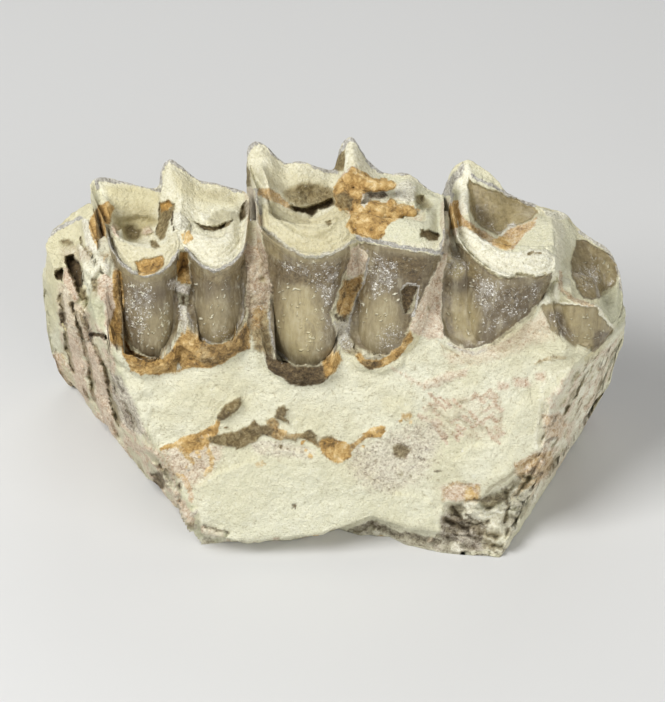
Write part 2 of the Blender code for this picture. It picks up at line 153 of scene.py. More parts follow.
def scratches(points, count, seed, length, half, angle=None, **tones):
    """Short marks at random places inside an outline: from the middle half a run out each way,
    the middle point shaken a little; at any angle, or near the one given."""
    chance = np.random.default_rng(seed)
    outline = np.array(points, float)
    low, high = outline.min(axis=0), outline.max(axis=0)
    for _ in range(count):
        middle = low + (high - low) * chance.random(2)
        turn = chance.uniform(0, math.pi) if angle is None else math.radians(angle + chance.normal(0, 7))
        run = 0.5 * length * chance.uniform(0.3, 1.0) * np.array([math.cos(turn), math.sin(turn)])
        if edge_distance(middle[:1], middle[1:], outline, True)[0] > 1.0:
            stroke((middle - run, middle + chance.normal(0, 0.4, 2), middle + run), half=half, **tones)


def rubble(points, count, seed, size, lift, looks):
    """Random chips inside an outline, with five to eight corners at about even turns, each at a
    random share of the size from the middle; each is raised or sunk, in one of the looks."""
    chance = np.random.default_rng(seed)
    outline = np.array(points, float)
    low, high = outline.min(axis=0), outline.max(axis=0)
    for _ in range(count):
        middle = low + (high - low) * chance.random(2)
        corners = chance.integers(5, 9)
        turns = 2 * math.pi * (np.arange(corners) + chance.uniform(-0.3, 0.3, corners)) / corners
        out = size * chance.uniform(0.4, 1.1) * chance.uniform(0.6, 1.0, corners)
        chip = middle + np.column_stack([np.cos(turns) * out, np.sin(turns) * out * 0.8])
        if edge_distance(middle[:1], middle[1:], outline, True)[0] > 0.0:
            look = looks[chance.integers(len(looks))]
            area(chip, soft=1.1, lift=lift * chance.uniform(-1.0, 1.0), **look)


# Random unit slopes for the noise. Their number is a power of two, so that a mask can pick one.
SLOPE_COUNT = 4096
SLOPES = np.random.default_rng(7).normal(size=(SLOPE_COUNT, 3))
SLOPES /= np.linalg.norm(SLOPES, axis=1)[:, None]
SCRAMBLE_X, SCRAMBLE_Y, SCRAMBLE_Z, SCRAMBLE_SEED = 73856093, 19349663, 83492791, 2654435


def corner_number(i, seed):
    """A number below SLOPE_COUNT for each lattice corner: its x, y and z times large primes, mixed
    bit by bit with the seed and with themselves shifted."""
    h = i[:, 0] * SCRAMBLE_X ^ i[:, 1] * SCRAMBLE_Y ^ i[:, 2] * SCRAMBLE_Z ^ (seed * SCRAMBLE_SEED + 97)
    return (h ^ (h >> 13) ^ (h >> 7)) & (SLOPE_COUNT - 1)


def waves(p, seed=0):
    """Smooth noise in about -1..1: a random slope at each lattice corner, blended between corners."""
    i = np.floor(p).astype(np.int64)
    f = p - i
    w = f * f * f * (f * (f * 6.0 - 15.0) + 10.0)
    total = np.zeros(len(p))
    for corner in np.ndindex(2, 2, 2):
        c = np.array(corner)
        slope = SLOPES[corner_number(i + c, seed)]
        share = np.prod(np.where(c == 1, w, 1.0 - w), axis=1)
        total += share * ((f - c) * slope).sum(axis=1)
    return total * 1.6


def rough(p, seed=0, octaves=4):
    """Broken-stone noise: waves of halving size and strength, added up."""
    total = np.zeros(len(p))
    for k in range(octaves):
        total += waves(p * 2.0**k, seed + 11 * k) * 0.5**k
    return total


def grains(p, seed=0):
    """Distance to the nearest of one random point per lattice cell, over the 27 cells around."""
    i = np.floor(p).astype(np.int64)
    near = np.full(len(p), 9.0)
    for cell in np.ndindex(3, 3, 3):
        c = i + np.array(cell) - 1
        spot = c + 0.5 + 0.45 * SLOPES[corner_number(c, seed)]
        near = np.minimum(near, np.linalg.norm(p - spot, axis=1))
    return near


# How the drawing is shaken, so that no outline looks cut: scale, strength and two seeds of a noise.
SHAKES = ((0.1, 1.5, 3, 5), (0.3, 1.0, 4, 6), (0.7, 0.5, 12, 13))


def painted(p):
    """The tones and the lift of all marks at points p, in the order they were drawn.

    A mark's share is an S over its soft edge. Growth lines are a sine of the distance to the edge.
    Torn fibres are one minus the size of a noise that is stretched along their angle; their
    crests are tinted pink, and their troughs and deepest cracks get painted shade in olive and dark.
    """
    a, b = drawn(p)
    flat = np.column_stack([a, b, np.zeros(len(a))])
    for scale, strength, right_seed, down_seed in SHAKES:
        a = a + strength * waves(flat * scale, right_seed)
        b = b + strength * waves(flat * scale, down_seed)
    tones = np.zeros((len(TONES), len(a)))
    lift = np.zeros(len(a))
    for closed, points, soft, height, layers, fibres, wanted in MARKS:
        reach = 2.0 * soft + 1.0
        low, high = points.min(axis=0) - reach, points.max(axis=0) + reach
        near = np.flatnonzero((a > low[0]) & (a < high[0]) & (b > low[1]) & (b < high[1]))
        if not len(near):
            continue
        d = edge_distance(a[near], b[near], points, closed)
        share = ease(d, -soft, soft) if closed else 1.0 - ease(d, soft, 2.0 * soft)
        lift[near] += height * (share if closed else 1.0 - ease(d, 0.0, 2.0 * soft))
        if layers:
            spacing, line_height = layers
            line = np.sin((d + 0.8 * waves(flat[near] * 0.09, 8)) * 2.0 * np.pi / spacing)
            lift[near] += line_height * share * line
        for name, value in wanted.items():
            k = TONES.index(name)
            tones[k, near] += (value - tones[k, near]) * share
        if layers:
            tones[TONES.index("olive"), near] += 0.3 * share * ease(-line, 0.1, 1.0)
        if fibres:
            angle, spacing, ridge_height, tint = fibres
            turn = math.radians(angle)
            across = (a[near] * math.sin(turn) - b[near] * math.cos(turn)) / spacing
            run = (a[near] * math.cos(turn) + b[near] * math.sin(turn)) / (5.0 * spacing)
            ridge = 1.0 - 2.2 * np.abs(rough(np.column_stack([across, run, 0.3 * across]), 17, 3))
            lift[near] += ridge_height * share * np.clip(ridge, -1.2, 1.0)
            # crests are tinted pink; the troughs and the deepest cracks get painted shade in olive and dark
            crest = 0.75 * ease(ridge, 0.0, 0.8)
            trough_shade = 0.55 * ease(-ridge, 0.0, 0.9)
            crack = 0.45 * ease(-ridge, 0.5, 1.3)
            for name, value in (("pink", crest), ("olive", trough_shade), ("dark", crack)):
                k = TONES.index(name)
                tones[k, near] = np.maximum(tones[k, near], tint * value * share)
    return tones, lift


def corner_normals(p, triangles):
    """Unit normals at the points: the area-weighted sum over the triangles that meet there."""
    a, b, c = (p[triangles[:, k]] for k in range(3))
    across = np.cross(b - a, c - a)
    total = np.zeros_like(p)
    for k in range(3):
        for axis in range(3):
            total[:, axis] += np.bincount(triangles[:, k], across[:, axis], len(p))
    return total / (np.linalg.norm(total, axis=1)[:, None] + 1e-12)


def skin_of(rings, flags):
    """Points, triangles and flags of the closed skin through rings of points.

    Neighbours on a ring and on the next ring make two triangles; points in one place are welded,
    and triangles that collapse are dropped. It is turned outwards by the sign of its volume.
    """
    count, around = rings.shape[:2]
    p, index = np.unique(np.round(rings.reshape(-1, 3), 4), axis=0, return_inverse=True)
    index = index.reshape(count, around)
    a, d = index[:-1], index[1:]
    b, c = np.roll(a, -1, axis=1), np.roll(d, -1, axis=1)
    halves = (np.stack(corners, -1).reshape(-1, 3) for corners in ([a, b, c], [a, c, d]))
    triangles = np.concatenate(list(halves))
    first, second, third = triangles.T
    triangles = triangles[(first != second) & (second != third) & (first != third)]
    if np.linalg.det(p[triangles]).sum() < 0:
        triangles = triangles[:, ::-1]
    flag = np.zeros(len(p))
    np.maximum.at(flag, index.reshape(-1), np.broadcast_to(flags, (count, around)).reshape(-1))
    return p, triangles, flag


PIECES = []


def piece_of(name, points, triangles, seen, material, sides, swell=0.0):
    """A piece with its own mesh and finish, kept for the marks to be laid on it.

    seen is 0 where the drawing doesn't reach, and there sides(points, seen) gives the tones.
    swell is the height of the broad bumps of its stone, in millimetres.
    """
    mesh = bpy.data.meshes.new(name)
    mesh.from_pydata(((points + SHIFT) * MM).tolist(), [], triangles.tolist())
    mesh.polygons.foreach_set("use_smooth", np.ones(len(mesh.polygons), bool))
    mesh.materials.append(material)
    obj = bpy.data.objects.new(name, mesh)
    bpy.context.scene.collection.objects.link(obj)
    PIECES.append((obj, points, triangles, seen, sides, swell))
    return obj


STONE_HEIGHT = 0.075
GRIT_HEIGHT = 0.3
GRITS_PER_MM = 2.6
WRINKLE_HEIGHT = 0.05
CRACK_DEPTH = 0.25


def lay_marks(obj, p, triangles, seen, sides, swell):
    """Lays the marks on a piece and roughens it: stone noise, grit as cell noise, enamel wrinkles.

    Lift moves a point straight towards the eye, so a mark stays where it was drawn; roughness
    moves it along its normal, less on enamel and chalk. No point leaves the box of the solids.
    """
    normal = corner_normals(p, triangles)
    to_eye = EYE - p
    to_eye /= np.linalg.norm(to_eye, axis=1)[:, None]
    hidden = sides(p, seen)
    seen = np.clip(seen * ease((normal * to_eye).sum(axis=1), -0.16, -0.02), 0.0, 1.0)
    tones, lift = painted(p)
    tones = tones * seen
    for k, tone in enumerate(TONES):
        tones[k] += np.clip(hidden.get(tone, 0.0), 0.0, 1.0) * (1.0 - seen)
    grit, glassy, chalky, dark = (tones[TONES.index(tone)] for tone in ("grit", "enamel", "chalk", "dark"))
    stone = STONE_HEIGHT * rough(p * 1.6, 21, 3) + swell * rough(p * 0.45, 31, 3)
    height = (1.0 - 0.85 * glassy) * (1.0 - 0.5 * chalky) * stone
    height += grit * (GRIT_HEIGHT * (0.5 - grains(p * GRITS_PER_MM, 5)) + 0.16 * rough(p * 1.3, 41, 3))
    height += glassy * WRINKLE_HEIGHT * rough(p * (1.1, 1.1, 0.25), 25, 3)
    height -= CRACK_DEPTH * dark * (1.0 - seen)
    p = p + to_eye * (lift * seen)[:, None] + normal * height[:, None]
    low, high = (np.array(corner) * METRE for corner in cad_box)
    p = np.clip(p + SHIFT, low, high)
    obj.data.vertices.foreach_set("co", (p * MM).ravel())
    for k, letter in enumerate("abc"):
        layer = obj.data.attributes.new("tones_" + letter, "FLOAT_COLOR", "POINT")
        layer.data.foreach_set("color", np.clip(tones[4 * k:4 * k + 4], 0, 1).T.astype(np.float32).ravel())
    obj.data.update()


def linear(red, green, blue):
    """A colour given as 0..255 screen values, made linear for the shader."""
    return tuple(((c / 255.0 + 0.055) / 1.055) ** 2.4 for c in (red, green, blue)) + (1.0,)


# The shades of each tone along a noise: (noise value, screen colour).
GREEN_SHADES = ((0.36, (176, 176, 140)), (0.6, (212, 212, 180)))
CHALK_SHADES = ((0.34, (246, 245, 232)), (0.52, (232, 228, 204)), (0.66, (184, 178, 146)))
PINK_SHADES = ((0.38, (232, 222, 202)), (0.5, (210, 190, 167)), (0.58, (186, 158, 132)),
               (0.68, (138, 110, 84)))
LILAC_SHADES = ((0.38, (230, 226, 210)), (0.48, (202, 194, 178)), (0.56, (164, 154, 140)),
                (0.66, (104, 94, 80)))
OLIVE_SHADES = ((0.36, (160, 146, 108)), (0.52, (126, 110, 72)), (0.66, (92, 78, 48)))
OCHRE_SHADES = ((0.38, (230, 210, 166)), (0.46, (208, 176, 116)), (0.54, (178, 142, 82)),
                (0.64, (110, 86, 50)))
RUST_AND_SHADE_COLOURS = ((0.38, (204, 164, 90)), (0.48, (170, 130, 64)), (0.6, (90, 68, 34)))
DARK_SHADES = ((0.36, (122, 102, 68)), (0.5, (84, 68, 42)), (0.66, (44, 34, 22)))
BAND_SHADES = ((0.36, (226, 224, 216)), (0.5, (176, 172, 162)), (0.64, (120, 114, 104)))
# Specks of the bare stone, the two shades each of brown enamel, tan enamel and tan stone, the wisps
# and specks of the enamel, and the milky clouds, dots and chips that a fleck brings out.
BUFF, SAND, WHITE = linear(172, 164, 134), linear(190, 180, 148), linear(246, 245, 232)
BROWN_ENAMEL = linear(90, 79, 61), linear(122, 109, 87)
TAN_ENAMEL = linear(160, 146, 108), linear(184, 171, 132)
TAN_STONE = linear(172, 158, 104), linear(214, 204, 160)
BROWN_WISP, PALE_WISP, BROWN_SPECK = linear(92, 80, 58), linear(196, 188, 160), linear(74, 64, 48)
GREY_CLOUD, MILKY_CLOUD = linear(170, 164, 150), linear(176, 172, 164)
WHITE_DOT, WHITE_CHIP = linear(226, 223, 212), linear(230, 228, 220)
DULL_ROUGHNESS = 0.82
DOT_WARP = (0.0008, 0.0008, 0.0008)
BUMP_HEIGHT = 0.0004


def fossil_finish(name, ground, ground_dark, enamel_roughness=0.3):
    """The finish of a piece: a mottled ground, then each tone laid over it with a broken edge.

    A tone's share is an S over its strength plus fine grain, so that its edge breaks up into
    specks finer than the mesh. Enamel is glossy, everything else is dull and grainy.
    """
    material = bpy.data.materials.new(name)
    material.use_nodes = True
    tree = material.node_tree
    tree.nodes.clear()
    link = tree.links.new

    def node(kind, **settings):
        """A new shader node with its settings."""
        made = tree.nodes.new(kind)
        for key, value in settings.items():
            setattr(made, key, value)
        return made

    def fed(socket, source):
        """A socket set to a value, or linked to another node's output."""
        if isinstance(source, (int, float, tuple)):
            socket.default_value = source
        else:
            link(source, socket)

    def sums(operation, *sources):
        """One step of arithmetic on values or outputs."""
        made = node("ShaderNodeMath", operation=operation)
        for socket, source in zip(made.inputs, sources):
            fed(socket, source)
        return made.outputs[0]

    def stretch(source, low, high):
        """0 at low, 1 at high, and a smooth S between; low may be the greater one."""
        made = node("ShaderNodeMapRange", interpolation_type="SMOOTHSTEP")
        fed(made.inputs["Value"], source)
        made.inputs["From Min"].default_value = low
        made.inputs["From Max"].default_value = high
        return made.outputs["Result"]

    def mixed(share, below, above):
        """The colour below, turned into the colour above by its share."""
        made = node("ShaderNodeMix", data_type="RGBA")
        fed(made.inputs["Factor"], share)
        fed(made.inputs[6], below)
        fed(made.inputs[7], above)
        return made.outputs[2]

    place = node("ShaderNodeTexCoord").outputs["Object"]

    def grain(scale, detail=3.0, distortion=0.0, roughness=0.55, read_at=place):
        """Cloudy noise in about 0..1, with scale clouds to the metre."""
        made = node("ShaderNodeTexNoise")
        link(read_at, made.inputs["Vector"])
        made.inputs["Scale"].default_value = scale
        made.inputs["Detail"].default_value = detail
        made.inputs["Roughness"].default_value = roughness
        made.inputs["Distortion"].default_value = distortion
        return made.outputs["Fac"]

    tone = {}
    for k, letter in enumerate("abc"):
        read = node("ShaderNodeAttribute", attribute_name="tones_" + letter)
        split = node("ShaderNodeSeparateColor")
        link(read.outputs["Color"], split.inputs[0])
        tone.update(zip(TONES[4 * k:4 * k + 4], (*split.outputs, read.outputs["Alpha"])))

    fine = grain(3400.0, 4.0)
    medium = grain(900.0, 4.0)
    broad = grain(160.0, 3.0)
    tiny = grain(7600.0, 2.0)

    def laid(below, share, colour, noise, amount, width):
        """A colour laid over the one below: its share plus amount times noise, in an S round a half."""
        pushed = sums("MULTIPLY_ADD", sums("SUBTRACT", noise, 0.5), amount, share)
        return mixed(stretch(pushed, 0.5 - width, 0.5 + width), below, colour)

    def speckled(noise, shades):
        """A noise turned into the colours of a tone's shades."""
        made = node("ShaderNodeValToRGB")
        link(noise, made.inputs["Fac"])
        ramp = made.color_ramp
        for k, (value, shade) in enumerate(shades):
            stop = ramp.elements[k] if k < 2 else ramp.elements.new(value)
            stop.position = value
            stop.color = linear(*shade)
        return made.outputs["Color"]

    crumbs = grain(2000.0, 5.0, 0.8, 0.7)
    specks = sums("MULTIPLY_ADD", grain(4600.0, 3.0, 0.3, 0.75), 0.6, sums("MULTIPLY", crumbs, 0.4))
    colour = mixed(stretch(broad, 0.35, 0.65), ground, ground_dark)
    colour = mixed(sums("MULTIPLY", stretch(specks, 0.52, 0.64), 0.8), colour, BUFF)
    colour = mixed(sums("MULTIPLY", stretch(crumbs, 0.55, 0.7), 0.5), colour, SAND)
    colour = mixed(sums("MULTIPLY", stretch(specks, 0.46, 0.36), 0.4), colour, WHITE)
    colour = laid(colour, tone["green"], speckled(crumbs, GREEN_SHADES), medium, 0.5, 0.5)
    colour = laid(colour, tone["chalk"], speckled(specks, CHALK_SHADES), fine, 0.5, 0.5)
    colour = laid(colour, tone["pink"], speckled(specks, PINK_SHADES), crumbs, 0.7, 0.45)
    colour = laid(colour, tone["lilac"], speckled(specks, LILAC_SHADES), crumbs, 1.0, 0.4)

    glassy = mixed(tone["tan"], mixed(medium, *BROWN_ENAMEL), mixed(medium, *TAN_ENAMEL))
    tall = node("ShaderNodeMapping")
    link(place, tall.inputs["Vector"])
    tall.inputs["Scale"].default_value = (1.0, 1.0, 0.22)
    wisps = grain(1900.0, 5.0, 0.0, 0.7, tall.outputs["Vector"])
    smears = grain(420.0, 6.0, 1.5, 0.75)
    glassy = mixed(sums("MULTIPLY", stretch(wisps, 0.5, 0.66), 0.4), glassy, BROWN_WISP)
    glassy = mixed(sums("MULTIPLY", stretch(wisps, 0.5, 0.36), 0.3), glassy, PALE_WISP)
    glassy = mixed(sums("MULTIPLY", stretch(specks, 0.5, 0.75), 0.3), glassy, BROWN_SPECK)
    glassy = mixed(sums("MULTIPLY", stretch(smears, 0.5, 0.8), 0.35), glassy, GREY_CLOUD)
    colour = laid(colour, tone["enamel"], glassy, fine, 0.4, 0.3)

    plain_tan = sums("MULTIPLY", tone["tan"], sums("SUBTRACT", 1.0, tone["enamel"]))
    colour = laid(colour, plain_tan, mixed(crumbs, *TAN_STONE), medium, 0.4, 0.6)
    colour = laid(colour, tone["olive"], speckled(crumbs, OLIVE_SHADES), medium, 0.6, 0.5)
    cloudy = sums("MULTIPLY_ADD", medium, 0.55, sums("MULTIPLY", crumbs, 0.45))
    # olive turns the ochre into darker rust colours: real rust on the collars, painted shade on the iron
    # crust's shadowed side
    iron_stain_and_shade = mixed(tone["olive"], speckled(cloudy, OCHRE_SHADES), speckled(cloudy, RUST_AND_SHADE_COLOURS))
    colour = laid(colour, tone["ochre"], iron_stain_and_shade, specks, 1.0, 0.35)
    colour = laid(colour, tone["dark"], speckled(specks, DARK_SHADES), crumbs, 0.8, 0.4)
    colour = laid(colour, tone["band"], speckled(specks, BAND_SHADES), crumbs, 0.9, 0.4)

    chips = sums("MULTIPLY_ADD", tone["fleck"], 0.17, grain(3000.0, 6.0, 2.0, 0.75))
    clouds = sums("MULTIPLY_ADD", tone["fleck"], 0.2, grain(1100.0, 6.0, 1.0, 0.78))
    warp = node("ShaderNodeTexNoise")
    link(place, warp.inputs["Vector"])
    warp.inputs["Scale"].default_value = 2600.0
    torn = node("ShaderNodeVectorMath", operation="MULTIPLY_ADD")
    link(warp.outputs["Color"], torn.inputs[0])
    torn.inputs[1].default_value = DOT_WARP
    link(place, torn.inputs[2])
    cells = node("ShaderNodeTexVoronoi")
    link(torn.outputs[0], cells.inputs["Vector"])
    cells.inputs["Scale"].default_value = 3300.0
    dots = stretch(sums("MULTIPLY_ADD", tiny, 0.35, cells.outputs["Distance"]), 0.47, 0.38)
    colour = mixed(sums("MULTIPLY", stretch(clouds, 0.62, 0.82), 0.5), colour, MILKY_CLOUD)
    colour = mixed(sums("MULTIPLY", stretch(clouds, 0.6, 0.68), dots), colour, WHITE_DOT)
    colour = mixed(stretch(chips, 0.72, 0.76), colour, WHITE_CHIP)

    shader = node("ShaderNodeBsdfPrincipled")
    link(colour, shader.inputs["Base Color"])
    sheen_loss = enamel_roughness - DULL_ROUGHNESS
    link(sums("MULTIPLY_ADD", tone["enamel"], sheen_loss, DULL_ROUGHNESS), shader.inputs["Roughness"])
    bumps = sums("MULTIPLY_ADD", fine, 0.6, sums("MULTIPLY", tiny, 0.4))
    bumps = sums("MULTIPLY", bumps, sums("MULTIPLY_ADD", tone["enamel"], -0.85, 1.0))
    bump = node("ShaderNodeBump")
    bump.inputs["Strength"].default_value = 0.8
    bump.inputs["Distance"].default_value = BUMP_HEIGHT
    link(bumps, bump.inputs["Height"])
    link(bump.outputs["Normal"], shader.inputs["Normal"])
    link(shader.outputs["BSDF"], node("ShaderNodeOutputMaterial").inputs["Surface"])
    return material


# The block's own measures. Each table runs along x as (x, value), except the right-hand corner and
# its slope, which run up z; a fill of mud between two crowns is (left, right, height).
FACE_FOOT_Y = -14.5
FACE_LEAN = 0.347
LEFT_CORNER, LEFT_CORNER_LEAN, LEFT_SLOPE = -12.6, 0.39, 1.65
COLLAR_THICKNESS = 0.7
BLOCK_LEFT, BLOCK_RIGHT = -27.5, 27.4
FOOT_STEPS, UNDERCUT_STEPS, FACE_STEPS, LEDGE_STEPS, TOP_STEPS, CHEEK_STEPS = 9, 16, 118, 30, 20, 62
CAP_RINGS = 14
CAP_BULGE = 0.4
RIGHT_CORNER = ((0, 15.9), (5, 17.7), (9.3, 19.6), (15, 20.3), (18.6, 22.2), (21, 24.4), (30, 26))
RIGHT_SLOPE = ((0, 2.05), (12, 1.5), (20, 1.2))
GUM = (
    (-28.2, 17.0), (-27.0, 19.5), (-24.0, 20.5), (-22.8, 22.5), (-22.2, 25.0), (-20.8, 25.4),
    (-20.5, 22.6), (-19.8, 20.9), (-17.8, 19.9), (-15.6, 20.2), (-14.6, 21.6), (-14.1, 22.8),
    (-13.5, 22.4), (-12.4, 21.6), (-10.8, 21.4), (-9.0, 21.8), (-8.0, 23.0), (-6.7, 22.6),
    (-6.0, 20.4), (-4.6, 19.5), (-1.4, 19.3), (-0.2, 20.0), (0.6, 21.6), (1.2, 21.6),
    (2.2, 20.6), (4.4, 20.0), (6.4, 20.8), (7.4, 22.6), (8.6, 24.4), (9.8, 23.6),
    (10.6, 21.6), (12.0, 20.7), (13.4, 20.8), (15.4, 22.4), (17.4, 24.0), (19.4, 25.6),
    (20.2, 24.6), (20.8, 22.2), (22.4, 20.4), (24.8, 19.6), (26.2, 19.2), (27.6, 18.6),
)
FILLS = (
    (-23.0, -19.7, 27.0), (-15.5, -12.8, 26.2), (-8.6, -5.7, 27.6), (-0.1, 3.3, 29.6),
    (6.5, 10.8, 28.8), (10.4, 12.3, 28.0), (12.0, 13.6, 24.3), (19.6, 22.0, 25.4),
)
RIDGE = ((-27.8, 18.5), (-24, 20.5), (-20, 21), (23.5, 20.6), (25.4, 18.8), (27.4, 17.2))
ROOT_SWELLINGS = (-20.5, -15.6, -10.4, -4.6, 1.4, 7.4, 13.2, 18.4, 23.0)
UNDERCUT = ((-13.5, 2.0), (-10, 2.5), (-4, 2.7), (-1, 3.6), (0.5, 4.2), (2.5, 3.4), (5.5, 3.2),
            (7, 2.1), (10, 1.1), (13, 0.7), (16, 0.4), (18, 0.0))
LIP = ((-14, 2.8), (-12, 2.5), (-8, 1.8), (-4, 2.3), (-1, 2.7), (1.5, 3.5), (3.7, 4.4), (5.0, 3.8),
       (7, 3.1), (10, 2.8), (16, 2.6))
FOOT = ((-27.8, 6.5), (-27.2, 2.6), (-26.6, 0.8), (-26.2, 0.0), (24.9, 0.0), (25.6, 3.5),
        (26.4, 8.5), (27.4, 13.0))
CHEEK_FOOT = ((-27.8, 9.8), (-26, 11.2), (-22, 10.6), (-8, 9.2), (6, 9.6), (20, 9.2), (27.4, 7.2))
CHEEK_BULGE = ((-27.8, 9.9), (-26, 11.4), (-22, 11.6), (-15, 11.8), (-8, 11.0), (1, 12.0),
               (10, 11.0), (20, 10.8), (27.4, 7.6))
TOP_FALL = ((-22.6, -0.05), (-21.8, 0.3), (-19.0, 0.45), (-0.8, 0.45), (-0.4, -0.3), (3.6, -0.3),
            (4.0, 0.45), (18.0, 0.45), (20.0, 0.1))
CHEEK_GUM = ((-27.8, 17.5), (-24, 19.0), (10, 18.6), (24, 17.4), (27.4, 16.6))


def front_y(x, z):
    """The tongue-side skin: a leaning plane, cut off by a slanted face at each end, the left one
    hollowed at its foot. It is the greatest y of the three."""
    plane = FACE_FOOT_Y + FACE_LEAN * z
    past = LEFT_CORNER - LEFT_CORNER_LEAN * z - x
    hollow = (1.0 + 2.0 * np.exp(-np.abs(past) / 3.0)) * (1 - ease(z, 0.0, 7.0))
    left = np.where(past > 0, plane + LEFT_SLOPE * past + hollow, plane)
    right = plane + along(z, RIGHT_SLOPE) * (x - along(z, RIGHT_CORNER))
    return np.maximum(plane, np.maximum(left, right))


def collar(x, z):
    """Thickness of the crust under the first two molars: an S that starts 2.2 mm below the gum line."""
    top = along(x, GUM)
    first = ease(x, -20.6, -19.4) * (1 - ease(x, -8.8, -7.6))
    second = ease(x, -7.2, -6.2) * (1 - ease(x, -0.2, 0.8))
    rear = ease(x, 1.6, 2.6) * (1 - ease(x, 6.2, 7.2)) * 0.6
    under_teeth = np.maximum(first, np.maximum(second, rear))
    return COLLAR_THICKNESS * under_teeth * ease(z, top - 2.2, top - 1.2)


def fill_top(x):
    """Height of the hard mud between the crowns, low inside them: the ridge, raised by an S to
    the height of each fill."""
    low = along(x, RIDGE)
    top = low
    for left, right, height in FILLS:
        inside = ease(x, left - 0.5, left) * (1 - ease(x, right, right + 0.5))
        top = np.maximum(top, low + (height - low) * inside)
    return top


def block_rings(stations=360):
    """Slices of the block across x: foot, undercut, face, gum ledge, filling, top and cheek side.

    Each stretch of a slice is a straight or bulging run between heights read off the tables.
    The first and the last slice close in a quarter ellipse that bulges outwards.
    """
    x = np.linspace(BLOCK_LEFT, BLOCK_RIGHT, stations)[:, None]
    foot, under, gum = along(x, FOOT), along(x, UNDERCUT), along(x, GUM)
    wander = waves(np.column_stack([x, 0 * x, 0 * x]) * 0.5, 71)[:, None]
    lip = along(x, LIP) + (1.0 - ease(x, -16.0, -12.0)) * 0.9 * wander
    back_foot, back_bulge, back_top = along(x, CHEEK_FOOT), along(x, CHEEK_BULGE) - 0.3, along(x, CHEEK_GUM)
    under_crowns = ease(x, -20.9, -20.3) * (1 - ease(x, 19.2, 19.8))
    sunk = under_crowns * (1 - ease(fill_top(x) - along(x, RIDGE), 0.1, 1.5))
    fill = np.maximum(fill_top(x), gum + 0.6) * (1 - sunk) + (gum - 1.8) * sunk
    low = np.maximum(lip, foot + 1.0)
    limit = back_foot - 1.2
    ends = ease(-x, 12, 18) + ease(x, 17, 21)

    def lumps(y, z, strength):
        """Broad and small noise at the places (x, y, z), times strength."""
        q = np.stack(np.broadcast_arrays(x, y, z), -1)
        flat = q.reshape(-1, 3)
        noise = 0.75 * waves(flat * 0.22 + 3.1, 2) + 0.32 * waves(flat * 0.62, 9)
        return noise.reshape(q.shape[:2]) * strength

    parts = []
    t = np.linspace(0.95, 0.05, FOOT_STEPS)[None]
    front_foot = np.minimum(front_y(x, foot) + under, limit)
    parts.append((front_foot + (back_foot - front_foot) * t, foot + 0 * t, 0.0))
    t = np.linspace(0.0, 0.96, UNDERCUT_STEPS)[None]
    z = foot + (low - foot) * t
    y = np.minimum(front_y(x, z) + under * (1 - 0.3 * t - 0.62 * ease(t, 0.75, 1.0)), limit)
    parts.append((y, z, 1.0))
    t = np.linspace(0.0, 1.0, FACE_STEPS)[None]
    z = low + (gum - low) * t
    y = front_y(x, z) - collar(x, z)
    chipped = ease(x, 8 + 0.9 * z, 11 + 0.9 * z) * (1 - ease(z, 5.0, 9.0))
    y = y + lumps(y, z, 0.3 + 0.7 * ends) + 0.9 * chipped * ease(x, 8.6, 11.0)
    parts.append((np.minimum(y, limit), z, 1.0))
    t = np.linspace(0.0, 1.0, LEDGE_STEPS)[None]
    z = gum + 0.1 * (1 - sunk) + (fill - gum - 0.1 * (1 - sunk)) * t
    y = front_y(x, z) + (1 - 0.55 * sunk) * ease(t, -0.3, 0.12) + 0.4 * t * t
    y = y - collar(x, gum) * sunk * (1 - 0.5 * t)
    y = y + lumps(y, z, 0.4 + 0.5 * (1 - sunk))
    parts.append((np.minimum(y, limit), z, 6.0))
    top_front = parts[-1][0][:, -1:]
    fall = along(x, TOP_FALL)
    t = np.linspace(0.06, 0.94, TOP_STEPS)[None]
    z = fill + (back_top - fill) * ease(t, fall, fall + 0.45)
    y = top_front + (back_bulge - 1.2 - top_front) * t
    parts.append((y, z + lumps(y, z, 0.4), 1.0 - ease(t, 0.0, 0.3)))
    t = np.linspace(0.0, 1.0, CHEEK_STEPS)[None]
    z = back_top + (foot - back_top) * t
    y = back_foot + (back_bulge - back_foot) * np.sin(np.pi * np.minimum(1.0, 0.12 + 0.9 * t))
    swelling = sum(np.exp(-(((x - root) / 1.3) ** 2)) for root in ROOT_SWELLINGS)
    y = y + (lumps(y, z, 0.8) + 0.5 * swelling * (1 - t)) * ease(t, 0.0, 0.1) * (1 - ease(t, 0.92, 1.0))
    parts.append((y, z, 0.0))
    y = np.concatenate([part[0] for part in parts], axis=1)
    z = np.concatenate([part[1] for part in parts], axis=1)
    flags = np.concatenate([np.broadcast_to(part[2], part[0].shape) for part in parts], axis=1)
    rings = np.stack([np.broadcast_to(x, y.shape), y, z], -1)
    sizes = np.cos(np.linspace(0, np.pi / 2, CAP_RINGS + 1)[1:])[:, None, None]
    outs = CAP_BULGE * np.sqrt(1 - sizes**2)
    caps = []
    for ring, way in ((rings[0], -1), (rings[-1], 1)):
        middle = ring.mean(axis=0)
        cap = middle + (ring - middle) * sizes
        cap[..., 0] += way * outs[..., 0]
        caps.append(cap)
    rings = np.concatenate([caps[0][::-1], rings, caps[1]])
    flags = np.concatenate([np.repeat(flags[:1], CAP_RINGS, 0), flags, np.repeat(flags[-1:], CAP_RINGS, 0)])
    return rings, flags


